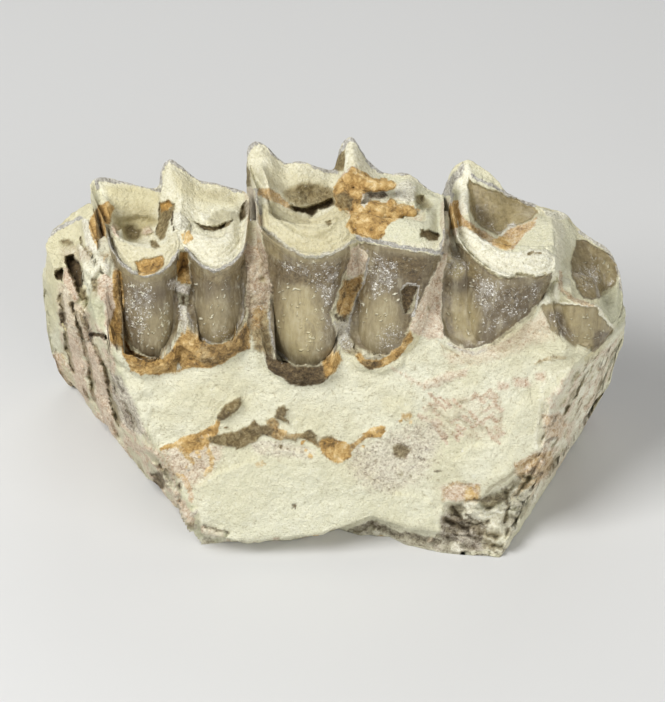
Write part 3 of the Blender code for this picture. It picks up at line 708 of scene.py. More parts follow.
def matrix_sides(p, _):
    """Sides out of view: cream, with pink, ochre and lilac patches along the bedding. Each tone is
    an S over its own noise, and hair cracks run where a noise passes through zero."""
    bed = p * (0.10, 0.10, 0.22)
    crack = ease(1.0 - np.abs(rough(p * 0.17, 57, 4)) * 9.0, 0.0, 0.9) * ease(rough(p * 0.1, 58), 0.1, 0.5)
    return {
        "pink": 0.2 + 0.6 * ease(rough(bed, 51), 0.0, 0.6),
        "lilac": 0.75 * ease(rough(p * 0.2, 52), 0.3, 0.8),
        "ochre": 0.8 * ease(rough(p * 0.3, 53), 0.5, 0.8),
        "green": 0.5 * ease(rough(p * 0.09, 54), 0.0, 0.6),
        "chalk": 0.6 * ease(rough(bed, 55), 0.1, 0.6),
        "olive": 0.6 * ease(rough(p * 0.25, 56), 0.4, 0.9),
        "dark": 0.62 * crack,
        "grit": 0.35 * ease(rough(p * 0.2, 52), 0.1, 0.7),
    }


siltstone = fossil_finish("siltstone", linear(226, 224, 200), linear(214, 210, 180))
block = piece_of("siltstone_block", *skin_of(*block_rings()), siltstone, matrix_sides, swell=0.14)
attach(block, "root")
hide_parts("jaw_block")

# Marks of the matrix. The face was split clean from the rock: cream siltstone with ochre lines
# where water ran in, lilac grit, and broken, striped bone at both ends.
area(((206, 476), (250, 462), (320, 464), (372, 496), (430, 500), (444, 530), (372, 520), (300, 538),
      (230, 542), (204, 524)), soft=9, chalk=0.3, green=0.35)
area(((130, 372), (250, 372), (300, 392), (420, 386), (404, 412), (330, 430), (210, 426), (150, 440)),
     soft=12, tan=0.12)
area(((196, 488), (208, 478), (236, 466), (254, 460), (266, 449), (290, 449), (318, 454), (345, 464),
      (372, 479), (392, 493), (428, 500), (443, 511), (444, 534), (397, 525), (375, 518), (343, 530),
      (280, 543), (243, 548), (203, 534), (198, 508)), soft=2.2, lift=0.45)
area(((452, 462), (470, 446), (506, 442), (520, 400), (541, 398), (539, 452), (484, 493), (462, 480)),
     soft=2.5, lift=0.35)
# a painted shadow line along the lower edge of the raised right plate
stroke(((486, 492), (512, 474), (538, 454)), half=1.3, olive=0.45, green=0.3)
area(((42, 300), (56, 330), (112, 340), (128, 387), (154, 443), (167, 452), (206, 540), (150, 510),
      (60, 410)), soft=3, green=0.55, olive=0.12)
area(((44, 318), (62, 318), (66, 345), (60, 362), (50, 366), (42, 345)), soft=3, lift=0.25, chalk=0.25,
     green=0.5)
area(((48, 356), (62, 352), (72, 372), (78, 394), (66, 394), (52, 378)), soft=2.5, lift=0.45, pink=0.95,
     ochre=0.35)
area(((58, 300), (90, 312), (112, 345), (122, 390), (150, 440), (172, 470), (196, 530), (150, 508),
      (84, 414), (62, 372)), soft=3, fibres=(60, 9.0, 0.55, 1.0), pink=0.35, chalk=0.2)
BONE_RIDGES = (
    ((66, 296), (72, 326), (76, 356), (82, 392)),
    ((78, 316), (88, 344), (98, 368), (104, 404), (112, 432)),
)
BONE_GROOVES = (
    ((60, 296), (64, 322), (68, 350), (74, 372)),
    ((72, 304), (82, 336), (90, 366), (94, 400)),
    ((92, 340), (104, 366), (110, 396), (120, 424)),
)
for ridge in BONE_RIDGES:
    stroke(ridge, half=4.0, lift=0.85, pink=0.8, chalk=0.35, ochre=0.1, dark=0.0, olive=0.1)
# the sunk grooves are painted dark olive: painted shade in the creases between the bone's ridges
for groove in BONE_GROOVES:
    stroke(groove, half=1.6, lift=-1.0, dark=0.15, olive=0.6)
area(((110, 372), (122, 376), (134, 400), (146, 430), (140, 438), (122, 424), (112, 398)), soft=3,
     lift=-0.15, lilac=0.7, green=0.4, grit=0.5)
area(((118, 398), (128, 402), (140, 424), (134, 432), (122, 418)), soft=2.5, lift=-0.2, dark=0.45, lilac=0.6)
area(((152, 474), (160, 472), (166, 482), (162, 490), (154, 484)), lift=-0.7, dark=0.7, olive=0.5)
area(((170, 492), (184, 500), (196, 520), (184, 518)), soft=2, lift=0.25, pink=0.7)
# painted shade in the crevice under the small plate
stroke(((90, 334), (99, 335), (108, 338)), half=1.4, lift=-0.9, dark=0.95)
# the ochre line and dark lumps on the face
stroke(((161, 449), (177, 444), (190, 441), (201, 442), (213, 436), (217, 424), (219, 418)), lift=0.1,
       ochre=1.0, olive=0.2)
area(((174, 444), (182, 437), (196, 434), (208, 428), (215, 424), (219, 432), (212, 440), (206, 449),
      (197, 451), (188, 455), (178, 451)), soft=2, lift=0.12, ochre=1.0, olive=0.25, dark=0.1)
area(((206, 438), (222, 433), (238, 430), (252, 424), (260, 426), (262, 434), (256, 443), (240, 448),
      (224, 446), (210, 443)), soft=2, lift=0.18, olive=0.95, dark=0.35, ochre=0.25)
area(((248, 427), (254, 418), (260, 424), (274, 428), (288, 433), (300, 436), (296, 441), (280, 438),
      (266, 436), (252, 434)), soft=1.8, lift=0.2, olive=0.85, dark=0.5, ochre=0.3)
area(((216, 417), (222, 408), (232, 400), (240, 398), (243, 403), (236, 411), (226, 419), (218, 421)),
     soft=1.6, lift=0.55, olive=0.95, dark=0.5, ochre=0.15)
area(((224, 407), (233, 400), (240, 399), (238, 405), (228, 412)), soft=1.8, dark=0.25, ochre=0.3)
area(((273, 417), (277, 408), (285, 405), (289, 409), (285, 417), (290, 424), (280, 421)),
     soft=1.6, lift=0.4, olive=0.9, dark=0.55)
area(((266, 420), (274, 416), (280, 424), (276, 432), (268, 428)), soft=1.8, lift=0.15, olive=0.7, ochre=0.5)
area(((276, 428), (286, 430), (290, 436), (280, 440), (272, 436)), soft=1.8, lift=0.15, ochre=0.8, olive=0.3)
stroke(((288, 436), (303, 436), (318, 444), (326, 448)), half=1.8, lift=0.1, olive=0.7, ochre=0.45, dark=0.2)
area(((303, 432), (310, 429), (318, 434), (316, 442), (304, 440)), soft=1.6, lift=0.2, dark=0.5, olive=0.85)
area(((320, 440), (334, 438), (350, 446), (352, 456), (342, 463), (332, 462), (322, 454)), soft=2.2,
     lift=0.15, ochre=1.0, olive=0.15)
area(((318, 436), (332, 436), (336, 444), (324, 448)), soft=1.8, olive=0.8, dark=0.35)
stroke(((350, 450), (358, 442), (369, 434), (382, 430)), half=1.7, lift=0.08, ochre=0.7, lilac=0.2)
area(((362, 434), (370, 429), (379, 425), (385, 427), (381, 438), (371, 438)), soft=1.8, lift=0.12, ochre=1.0)
area(((400, 413), (410, 411), (414, 417), (408, 421), (402, 419)), soft=2.0, lift=0.1, ochre=0.65, pink=0.3)
rubble(((170, 438), (216, 426), (254, 424), (300, 430), (350, 442), (384, 424), (388, 434), (370, 446),
        (346, 464), (318, 458), (250, 450), (190, 456)), 54, 9, 4.0, 0.22, (dict(ochre=0.9),
                                                                            dict(olive=0.8, ochre=0.5),
                                                                            dict(dark=0.45, olive=0.8),
                                                                            dict(lilac=0.6),
                                                                            dict(ochre=1.0, dark=0.0)))
rubble(((346, 444), (384, 424), (416, 408), (424, 418), (396, 440), (364, 462), (348, 460)),
       26, 19, 2.8, 0.15, (dict(ochre=0.8), dict(lilac=0.9), dict(dark=0.5, olive=0.5), dict(pink=0.6)))
area(((250, 440), (284, 441), (317, 448), (312, 460), (280, 458), (254, 454)), soft=4, lilac=0.45,
     pink=0.35, grit=0.35)
area(((165, 446), (196, 442), (224, 444), (222, 458), (210, 474), (196, 486), (180, 482), (168, 466)),
     soft=6, lilac=0.2, pink=0.62, grit=0.3)
rubble(((172, 448), (222, 446), (214, 470), (182, 480)), 9, 14, 3.0, 0.25, (dict(lilac=0.8, pink=0.2),
                                                                            dict(chalk=0.8),
                                                                            dict(ochre=0.5, pink=0.5)))
RUSTY_DROPS = (
    ((180, 446), (186, 456), (194, 462)),
    ((206, 446), (212, 456), (211, 468), (204, 474)),
    ((176, 474), (184, 478), (190, 488)),
)
for drop in RUSTY_DROPS:
    stroke(drop, half=1.7, lift=0.12, ochre=0.65, pink=0.5)
rubble(((172, 440), (222, 432), (218, 470), (194, 490), (176, 478)), 14, 16, 3.0, 0.2,
       (dict(ochre=0.7), dict(pink=0.8, ochre=0.3), dict(lilac=0.7)))
area(((351, 446), (372, 440), (404, 424), (432, 414), (446, 430), (440, 452), (428, 476), (404, 492),
      (376, 494), (352, 478), (344, 460)), soft=12, lilac=0.5, grit=0.35, pink=0.3, tan=0.1)
rubble(((356, 450), (400, 432), (436, 424), (436, 456), (404, 486), (372, 488)), 16, 15, 3.2, 0.2,
       (dict(lilac=0.9), dict(olive=0.5, lilac=0.4), dict(chalk=0.5), dict(pink=0.8)))
area(((392, 446), (402, 443), (411, 450), (406, 459), (394, 458)), soft=2, dark=0.45, olive=0.7)
stroke(((184, 478), (190, 488), (191, 500)), half=1.6, ochre=0.45, pink=0.8)
stroke(((163, 452), (168, 462), (174, 474)), half=1.4, ochre=0.3, pink=0.7, lilac=0.3)
area(((254, 462), (263, 460), (266, 466), (257, 469)), ochre=0.5)
area(((291, 504), (296, 504), (297, 509), (292, 509)), soft=1.0, lift=-0.15, dark=0.8)
stroke(((421, 459), (424, 459)), half=1.4, dark=0.6)
stroke(((436, 471), (440, 471)), half=1.3, dark=0.6)
area(((440, 486), (456, 482), (480, 484), (478, 498), (458, 503), (442, 500)), soft=4, pink=0.8, ochre=0.25)
area(((466, 486), (480, 486), (480, 500), (464, 502)), soft=3, ochre=0.75)
stroke(((442, 500), (444, 488), (456, 482), (470, 484), (480, 496)), half=1.2, ochre=0.4, dark=0.3)
# the pink and brown threads at the right of the face
area(((513, 378), (528, 377), (531, 387), (516, 388)), soft=3, pink=0.8, ochre=0.15)
area(((497, 383), (510, 381), (509, 390), (498, 391)), soft=3, pink=0.8)
area(((535, 373), (546, 372), (545, 381), (536, 382)), soft=3, pink=0.7)
stroke(((535, 364), (546, 359), (565, 357)), half=1.6, lift=0.1, ochre=0.45, dark=0.35)
stroke(((430, 405), (452, 404), (470, 399), (488, 396), (499, 401), (501, 418), (500, 436), (490, 432),
        (478, 428), (466, 418), (455, 410)), lift=0.08, pink=1.0, ochre=0.2, dark=0.12, olive=0.3, grit=0.2)
PINK_THREADS = (
    ((455, 414), (466, 424), (478, 438)),
    ((440, 424), (450, 431), (458, 440)),
    ((424, 408), (440, 412), (456, 426), (470, 436)),
    ((420, 416), (432, 422), (444, 436)),
    ((446, 400), (462, 408), (480, 424), (490, 430)),
)
for thread in PINK_THREADS:
    stroke(thread, half=1.4, lift=0.08, pink=1.0, ochre=0.2, dark=0.12, olive=0.3, grit=0.2)
area(((424, 402), (470, 394), (504, 396), (506, 436), (480, 442), (448, 436), (428, 420)), soft=8, pink=0.3,
     tan=0.1)
scratches(((424, 396), (500, 392), (506, 440), (440, 444)), 40, 12, 14, 1.0, angle=38, pink=0.95,
          ochre=0.15, dark=0.12, olive=0.25)
scratches(((440, 396), (500, 392), (506, 440), (460, 444)), 10, 13, 10, 0.9, angle=-30, pink=0.9, dark=0.15,
          olive=0.25)
stroke(((538, 424), (544, 417), (555, 417), (552, 426), (541, 428)), half=1.0, dark=0.45, ochre=0.2)
stroke(((548, 441), (555, 438)), half=1.2, dark=0.5)
stroke(((530, 390), (532, 404)), half=0.9, lift=-0.15, dark=0.35)
stroke(((443, 380), (449, 386), (453, 390)), half=0.9, lift=-0.15, dark=0.3)
stroke(((358, 386), (366, 390), (371, 384)), half=0.8, lift=-0.12, dark=0.25)
stroke(((430, 337), (440, 344), (455, 355), (470, 364)), half=1.0, lift=-0.2, ochre=0.35, dark=0.25)
stroke(((392, 368), (408, 378), (424, 386), (440, 382), (452, 374)), half=1.4, lift=0.06, pink=0.6,
       ochre=0.25)
area(((418, 384), (446, 372), (470, 368), (466, 376), (440, 386), (424, 390)), soft=2.5, lift=0.12,
     pink=0.6, ochre=0.12)
area(((440, 352), (470, 352), (520, 330), (552, 322), (560, 338), (520, 352), (480, 366), (450, 366)),
     soft=5, pink=0.45, tan=0.1)
# the right-hand face: streaks run with its outline, with a reddish zone and grey broken blocks below
area(((571, 368), (600, 350), (624, 330), (610, 372), (590, 420), (560, 470), (520, 528), (481, 493),
      (537, 452), (541, 399)), soft=5, green=0.35, chalk=0.3, pink=0.25)
right_face = ((568, 372), (600, 352), (622, 332), (612, 370), (592, 416), (562, 466), (536, 500),
              (512, 496), (540, 452), (544, 400))
area(right_face, soft=3, fibres=(118, 8.0, 0.5, 0.8), chalk=0.5, green=0.1)
scratches(right_face, 46, 25, 26, 0.8, angle=-62, lift=-0.25, olive=0.55, dark=0.2, pink=0.4)
scratches(right_face, 40, 26, 20, 1.0, angle=-62, lift=0.15, chalk=0.9, pink=0.1, olive=0.0)
rubble(right_face, 26, 23, 6.0, 0.3, (dict(chalk=0.8, pink=0.1), dict(pink=0.6), dict(lilac=0.4),
                                      dict(green=0.7), dict(ochre=0.35, pink=0.5, dark=0.2)))
area(((543, 416), (560, 412), (568, 424), (560, 440), (546, 438)), soft=3, ochre=0.35, pink=0.7)
area(((513, 464), (534, 452), (554, 450), (552, 470), (536, 486), (520, 490)), soft=3, lift=-0.2, ochre=0.5,
     dark=0.3, pink=0.7)
rubble(((513, 464), (534, 452), (554, 450), (552, 470), (536, 486), (520, 490)), 16, 24, 4.0, 0.4,
       (dict(ochre=0.6, dark=0.3), dict(pink=0.9, ochre=0.2), dict(dark=0.7)))
stroke(((534, 469), (528, 480), (520, 490), (513, 498)), half=2.0, lift=-0.3, dark=0.6, ochre=0.4)
broken = ((444, 505), (458, 502), (480, 498), (500, 488), (520, 474), (536, 478), (526, 504), (512, 534),
          (504, 552), (484, 556), (470, 550), (446, 544))
area(broken, soft=1.6, lift=-1.0, fibres=(12, 12.0, 1.0, 1.0), lilac=0.35, chalk=0.55, olive=0.0, grit=0.5,
     dark=0.0, pink=0.0)
area(broken, soft=1.6, pink=0.15)
rubble(broken, 22, 31, 9.0, 0.6, (dict(chalk=0.7, lilac=0.3, dark=0.0, olive=0.0),
                                  dict(lilac=0.55, dark=0.0),
                                  dict(green=0.5, lilac=0.15, dark=0.0, olive=0.0),
                                  dict(chalk=0.95, lilac=0.1, dark=0.0, olive=0.0)))
area(((448, 506), (460, 503), (466, 510), (460, 517), (450, 516)), soft=3, lift=-0.6, olive=0.5, dark=0.3,
     chalk=0.1)
area(((474, 500), (500, 492), (512, 486), (508, 500), (488, 510)), soft=2.5, lift=-0.5, olive=0.6,
     dark=0.35, chalk=0.1)
area(((462, 514), (484, 510), (504, 512), (500, 526), (480, 532), (464, 526)), soft=2.5, lift=0.7,
     chalk=0.8, lilac=0.15, olive=0.0)
# the foot of the broken corner: grey-lilac rock with dark cracks, darkened further by painted shade where it
# lies in shadow
area(((440, 516), (456, 514), (474, 524), (498, 530), (496, 550), (470, 552), (440, 544)), soft=3,
     lift=-0.2, chalk=0.0, lilac=0.85, pink=0.3, olive=0.3)
scratches(((440, 516), (474, 522), (510, 528), (504, 552), (470, 552), (440, 544)), 22, 33, 16, 1.3,
          angle=14, lift=-0.45, dark=0.45, olive=0.5)
stroke(((446, 520), (462, 527), (480, 532), (496, 536), (508, 530)), half=2.2, lift=-0.8, dark=0.5, olive=0.6)
stroke(((452, 508), (462, 520), (474, 524), (488, 522)), half=1.8, lift=-0.7, dark=0.4, olive=0.6)
stroke(((504, 490), (508, 506), (504, 522)), half=1.3, lift=-0.5, dark=0.3, olive=0.6)
scratches(broken, 12, 32, 18, 0.9, angle=20, lift=-0.5, dark=0.35, olive=0.5, pink=0.3)
area(((484, 530), (500, 525), (514, 534), (506, 552), (490, 556), (482, 546)), soft=2, lift=0.5, chalk=0.5,
     lilac=0.2, dark=0.0, grit=0.1)
stroke(((571, 368), (556, 374), (543, 382), (541, 399), (540, 416), (537, 431), (537, 452)), half=1.6,
       lift=0.12, chalk=0.4)
# the bottom lip and the rough underside: rocks, with painted shade over the underside and a painted shadow
# just under the lip
area(((203, 535), (230, 547), (300, 542), (346, 530), (372, 520), (400, 532), (440, 536), (470, 545),
      (470, 556), (340, 548), (240, 556), (200, 548)), soft=2, lilac=0.4, dark=0.4, olive=0.3, chalk=0.25,
     grit=0.6)
rubble(((203, 537), (300, 543), (346, 532), (372, 522), (400, 534), (440, 538), (470, 547), (470, 556),
        (340, 544), (240, 552)), 60, 41, 8.0, 0.8, (dict(chalk=0.85, dark=0.0, olive=0.0), dict(dark=0.6),
                                                    dict(pink=0.8, dark=0.1), dict(lilac=0.7, dark=0.1)))
# painted shadow just under the lip line
stroke(((330, 537), (346, 533), (372, 524), (400, 535), (440, 541)), half=2.0, lift=-0.5, dark=0.45,
       olive=0.4)
rubble(((150, 466), (166, 460), (180, 486), (196, 512), (208, 534), (200, 544), (176, 520), (156, 494)), 44,
       42, 6.5, 0.7, (dict(pink=0.7, ochre=0.15), dict(chalk=0.8), dict(olive=0.6, dark=0.25),
                      dict(green=0.7), dict(lilac=0.6)))
rubble(((198, 524), (214, 528), (232, 538), (226, 546), (204, 542)), 12, 43, 5.0, 0.5,
       (dict(chalk=0.7), dict(pink=0.6), dict(green=0.5)))
area(((203, 527), (225, 531), (224, 538), (204, 536)), lift=0.4, pink=0.4)
stroke(((205, 526), (216, 530), (228, 533)), half=1.0, lift=-0.4, dark=0.6)


# Marks of the collars: iron-rich crust that grew round the necks of the crowns, and the mud,
# pinkish grit and mineral that fill the gaps between the columns.
area(((113, 268), (121, 272), (124, 300), (122, 334), (130, 350), (148, 358), (162, 358), (172, 350),
      (180, 336), (190, 326), (200, 338), (212, 345), (224, 344), (236, 336), (246, 322), (250, 330),
      (250, 348), (236, 354), (222, 364), (208, 369), (192, 367), (178, 371), (160, 375), (140, 374),
      (131, 370), (124, 356), (118, 348), (110, 342), (108, 330), (114, 308)), lift=0.12, ochre=1.0,
     dark=0.3, olive=0.75, grit=0.8)
rubble(((116, 300), (124, 345), (150, 362), (176, 345), (190, 330), (210, 348), (244, 330), (248, 348),
        (200, 366), (160, 373), (134, 368)), 30, 63, 5.0, 0.25, (dict(ochre=1.0, dark=0.1, olive=0.3),
                                                                 dict(olive=0.9, dark=0.45),
                                                                 dict(ochre=0.9, dark=0.55, olive=0.8),
                                                                 dict(olive=0.7, ochre=0.7)))
area(((200, 338), (212, 345), (224, 344), (236, 334), (248, 318), (252, 334), (248, 349), (232, 356),
      (218, 366), (208, 367), (200, 360)), soft=3, dark=0.55, olive=0.4)
area(((130, 362), (160, 366), (192, 356), (200, 364), (178, 372), (150, 375), (134, 372)), soft=3,
     ochre=1.0, dark=0.3, olive=0.2)
area(((176, 344), (186, 326), (194, 334), (204, 346), (196, 356), (182, 354)), soft=3, ochre=1.0, olive=0.3)
area(((176, 365), (180, 364), (181, 369), (177, 370)), soft=1.0, lift=0.1, chalk=1.0, ochre=0.0)
area(((264, 348), (272, 352), (282, 360), (298, 366), (318, 366), (330, 360), (338, 348), (342, 360),
      (336, 370), (328, 379), (320, 386), (300, 386), (290, 385), (284, 379), (268, 370), (264, 358)),
     lift=0.15, dark=0.85, olive=0.6, ochre=0.35, grit=0.8)
area(((322, 362), (336, 350), (342, 360), (335, 371), (326, 378)), soft=2.5, ochre=1.0, dark=0.1)
area(((352, 344), (360, 352), (372, 356), (388, 354), (400, 345), (410, 330), (414, 338), (406, 350),
      (398, 360), (384, 366), (370, 370), (361, 364), (354, 356)), soft=1.4, lift=0.12, ochre=0.9, dark=0.3,
     olive=0.5, grit=0.7)
area(((362, 360), (374, 361), (384, 363), (372, 370), (364, 367)), soft=1.6, dark=0.7)
area(((362, 352), (374, 356), (386, 355), (380, 360), (364, 358)), soft=1.4, chalk=0.8, ochre=0.0, lilac=0.2)
# left of the first molar: orange margin and pinkish ridge
area(((98, 206), (108, 202), (114, 208), (112, 218), (108, 226), (106, 240), (109, 254), (104, 262),
      (98, 250), (92, 238), (89, 226), (92, 215)), lift=0.15, ochre=1.0, olive=0.25, dark=0.0, chalk=0.0)
area(((104, 224), (110, 224), (111, 236), (106, 240)), soft=1.2, olive=0.6, lilac=0.5, ochre=0.0)
area(((111, 224), (119, 228), (122, 237), (114, 236)), pink=0.9, ochre=0.25, lift=0.1)
area(((82, 217), (88, 220), (96, 238), (103, 252), (112, 270), (106, 277), (97, 264), (88, 246), (82, 230)),
     soft=1.2, lift=0.6, chalk=0.9, lilac=0.35, fleck=0.6)
stroke(((80, 238), (88, 252), (98, 266), (103, 274)), half=1.1, lift=-0.6, dark=0.45, ochre=0.3)
area(((78, 244), (84, 244), (93, 260), (99, 270), (92, 279), (84, 270), (79, 256)), lift=0.6, chalk=0.7)
area(((96, 280), (104, 274), (114, 280), (117, 300), (114, 310), (104, 304), (97, 296)), soft=2, lift=0.35,
     pink=0.9, olive=0.2)
for k in range(4):
    stroke(((97, 284 + 5 * k), (106, 282 + 5 * k), (115, 285 + 5 * k)), half=0.8, lift=-0.08, olive=0.25)
area(((106, 304), (116, 306), (122, 336), (118, 350), (110, 344), (105, 326)), soft=2, lift=0.2, pink=0.8,
     chalk=0.3)
area(((113, 270), (121, 272), (124, 300), (121, 318), (115, 300)), soft=1.6, ochre=0.9, olive=0.5, pink=0.2)
area(((85, 300), (92, 292), (103, 298), (106, 318), (105, 334), (92, 335), (84, 324)), soft=2, lift=-0.25,
     green=0.7, olive=0.2, lilac=0.15)
area(((90, 278), (97, 278), (98, 292), (92, 292)), olive=0.8, lift=-0.1)
# between the first molar's columns
area(((180, 252), (188, 254), (190, 284), (183, 283), (177, 280), (177, 266)), soft=1.2, lift=-0.2,
     ochre=0.9, olive=0.6, dark=0.15, enamel=0.0)
area(((179, 262), (188, 262), (190, 284), (183, 283), (177, 280)), soft=2.5, ochre=1.0, dark=0.0)
area(((168, 282), (173, 278), (180, 283), (190, 287), (191, 296), (180, 293), (169, 289)), soft=1.0,
     lift=0.45, lilac=1.0, ochre=0.0, chalk=0.3, fleck=0.9, enamel=0.0)
area(((177, 294), (191, 297), (190, 305), (180, 304)), soft=1.2, lift=-0.6, dark=0.95, enamel=0.0, ochre=0.0)
area(((178, 304), (188, 304), (190, 330), (184, 334), (177, 326)), soft=1.8, lilac=0.6, chalk=0.4,
     fleck=0.9, ochre=0.1, enamel=0.0)
# between the first and second molar
area(((244, 250), (250, 236), (256, 226), (262, 240), (270, 258), (272, 290), (268, 312), (262, 330),
      (250, 330), (246, 300)), soft=2.5, pink=0.8, olive=0.45, dark=0.12, fleck=0.2, enamel=0.0, grit=0.7)
rubble(((246, 256), (256, 232), (268, 262), (270, 300), (262, 328), (250, 328)), 22, 61, 4.0, 0.35,
       (dict(olive=0.8, dark=0.4), dict(olive=0.6, pink=0.4), dict(pink=1.0), dict(chalk=0.7),
        dict(ochre=0.4, olive=0.5)))
area(((244, 262), (249, 262), (251, 300), (251, 330), (244, 338), (243, 300)), soft=2.2, dark=0.65, olive=0.6)
area(((252, 312), (262, 305), (270, 312), (270, 330), (275, 352), (266, 356), (254, 350), (250, 330)),
     soft=2.5, olive=0.75, dark=0.25, ochre=0.35)
area(((253, 308), (262, 305), (266, 316), (258, 326), (252, 318)), soft=2.2, ochre=0.45, chalk=0.3, dark=0.0)
area(((256, 212), (262, 214), (262, 236), (256, 228)), pink=0.6, chalk=0.3)
# between the second molar's columns
area(((350, 250), (358, 243), (367, 250), (368, 264), (364, 276), (354, 280), (346, 276), (347, 262)),
     soft=1.8, lift=0.4, pink=0.7, chalk=0.5, fleck=0.4, enamel=0.0, grit=0.4)
area(((343, 280), (354, 278), (364, 274), (362, 286), (356, 298), (352, 314), (344, 320), (336, 314),
      (338, 296)), soft=2, lift=0.1, ochre=0.75, olive=0.45, dark=0.2, pink=0.2, enamel=0.0, grit=0.6)
area(((337, 290), (345, 288), (346, 297), (338, 301)), soft=1.6, dark=0.7, olive=0.5)
area(((353, 284), (361, 282), (362, 289), (354, 292)), dark=0.65)
stroke(((331, 312), (337, 318), (345, 320), (352, 314)), half=1.3, lift=-0.2, dark=0.75)
area(((334, 320), (350, 320), (350, 338), (354, 350), (344, 352), (338, 344)), soft=2, lilac=0.6, fleck=0.9,
     chalk=0.3, enamel=0.0)
area(((342, 338), (352, 340), (360, 352), (352, 356), (342, 350)), soft=2, olive=0.7, lilac=0.4, ochre=0.2)
# between the second and third molar
area(((438, 262), (444, 254), (450, 236), (456, 234), (452, 250), (444, 280), (442, 316), (446, 338),
      (430, 340), (416, 334), (408, 330), (414, 312), (426, 288)), soft=2, pink=0.7, chalk=0.35, fleck=0.2,
     enamel=0.0, grit=0.6)
rubble(((430, 300), (446, 258), (452, 240), (446, 290), (440, 334), (416, 330)), 12, 62, 4.0, 0.25,
       (dict(olive=0.5, pink=0.5), dict(pink=1.0), dict(chalk=0.8), dict(ochre=0.4, pink=0.5)))
area(((440, 214), (450, 206), (458, 232), (450, 250), (444, 262), (440, 252), (442, 232)), soft=1.8,
     pink=0.6, chalk=0.25, olive=0.15, enamel=0.0)
area(((450, 202), (458, 200), (460, 212), (464, 222), (456, 229), (447, 229), (447, 220)), soft=1.4,
     lift=0.15, ochre=1.0, enamel=0.0)
area(((448, 229), (456, 229), (452, 252), (447, 252)), pink=0.7, olive=0.3, enamel=0.0)
# below the third molar
area(((444, 336), (458, 344), (474, 352), (500, 344), (520, 330), (544, 306), (552, 318), (548, 334),
      (520, 344), (490, 356), (462, 356)), soft=3, pink=0.55, ochre=0.12, tan=0.1)
stroke(((448, 344), (460, 350), (474, 354), (486, 350)), half=1.2, lilac=0.7, fleck=0.8)


# The broken stump of the fourth premolar: cream dentine with a thin edge of enamel, held in the jaw
# bone at the left end. A wall goes up to the broken rim, and inside it lies a shallow dish. Its finish
# is a dull cream; a rim point is (x, y, z).
PREMOLAR_RIM = (
    (-26.2, 0.6, 24.6), (-25.3, -1.6, 24.0), (-24.0, -3.0, 23.8), (-22.7, -3.6, 24.8),
    (-21.9, -2.2, 26.2), (-21.8, 0.2, 27.0), (-22.1, 2.8, 27.6), (-22.6, 5.2, 27.6),
    (-23.8, 6.0, 26.4), (-25.1, 5.5, 25.4), (-26.3, 4.2, 25.0), (-26.8, 2.4, 24.6),
)
PREMOLAR_CENTRE = np.array([-24.4, 1.4])
PREMOLAR_FOOT = 17.5
PREMOLAR_FLOOR = 24.6
WALL_RINGS, DISH_RINGS = 60, 50


def closed_outline(points, count):
    """A closed curve through the points: on each span the cubic whose slope at a point is half the
    step between that point's neighbours."""
    p = np.asarray(points, float)
    n = len(p)
    t = np.arange(count) * n / count
    i = t.astype(int)
    f = (t - i)[:, None]
    a, b, c, d = (p[(i + k) % n] for k in (-1, 0, 1, 2))
    return 0.5 * (2 * b + (c - a) * f + (2 * a - 5 * b + 4 * c - d) * f**2 + (3 * b - a - 3 * c + d) * f**3)


def premolar_rings(around=260):
    """A wall up to the broken rim, swollen by a half sine, then inward to a shallow dished top that
    drops by an S to its floor."""
    r = closed_outline(PREMOLAR_RIM, around)
    out = r[:, :2] - PREMOLAR_CENTRE
    out /= np.linalg.norm(out, axis=1)[:, None]
    s = np.linspace(0.0, 0.98, WALL_RINGS)[:, None]
    wall = np.empty((WALL_RINGS, around, 3))
    wall[..., :2] = PREMOLAR_CENTRE + (r[:, :2] - PREMOLAR_CENTRE) * (0.86 + 0.14 * s)[..., None]
    wall[..., :2] += out * (0.3 * np.sin(np.pi * s))[..., None]
    wall[..., 2] = PREMOLAR_FOOT + (r[:, 2] - PREMOLAR_FOOT) * s
    t = np.linspace(0.0, 1.0, DISH_RINGS)[:, None]
    top = np.empty((DISH_RINGS, around, 3))
    top[..., :2] = r[:, :2] + (PREMOLAR_CENTRE - r[:, :2]) * t[..., None]
    top[..., 2] = r[:, 2] + (PREMOLAR_FLOOR - r[:, 2]) * ease(t, 0.05, 1.0)
    foot = np.tile(wall[0].mean(axis=0), (around, 1))
    return np.concatenate([foot[None], wall, top])


def stump_sides(p, _):
    """Sides out of view: cream dentine with olive and pink patches and a few dark pits."""
    return {
        "tan": 0.4 + 0.4 * rough(p * 0.3, 81),
        "pink": 0.6 * ease(rough(p * 0.35, 82), 0.2, 0.7),
        "olive": 0.7 * ease(rough(p * (0.6, 0.6, 0.2), 83), 0.3, 0.8),
        "lilac": 0.5 * ease(rough(p * 0.5, 84), 0.3, 0.7),
        "dark": 0.8 * ease(rough(p * 0.8, 85), 0.75, 1.0),
        "grit": 0.3,
    }


dentine = fossil_finish("fossil_dentine", linear(222, 216, 182), linear(204, 196, 156), 0.4)
stump = piece_of("premolar_stump", *skin_of(premolar_rings(), 1.0), dentine, stump_sides, swell=0.16)
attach(stump, "root")
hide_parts("broken_premolar")

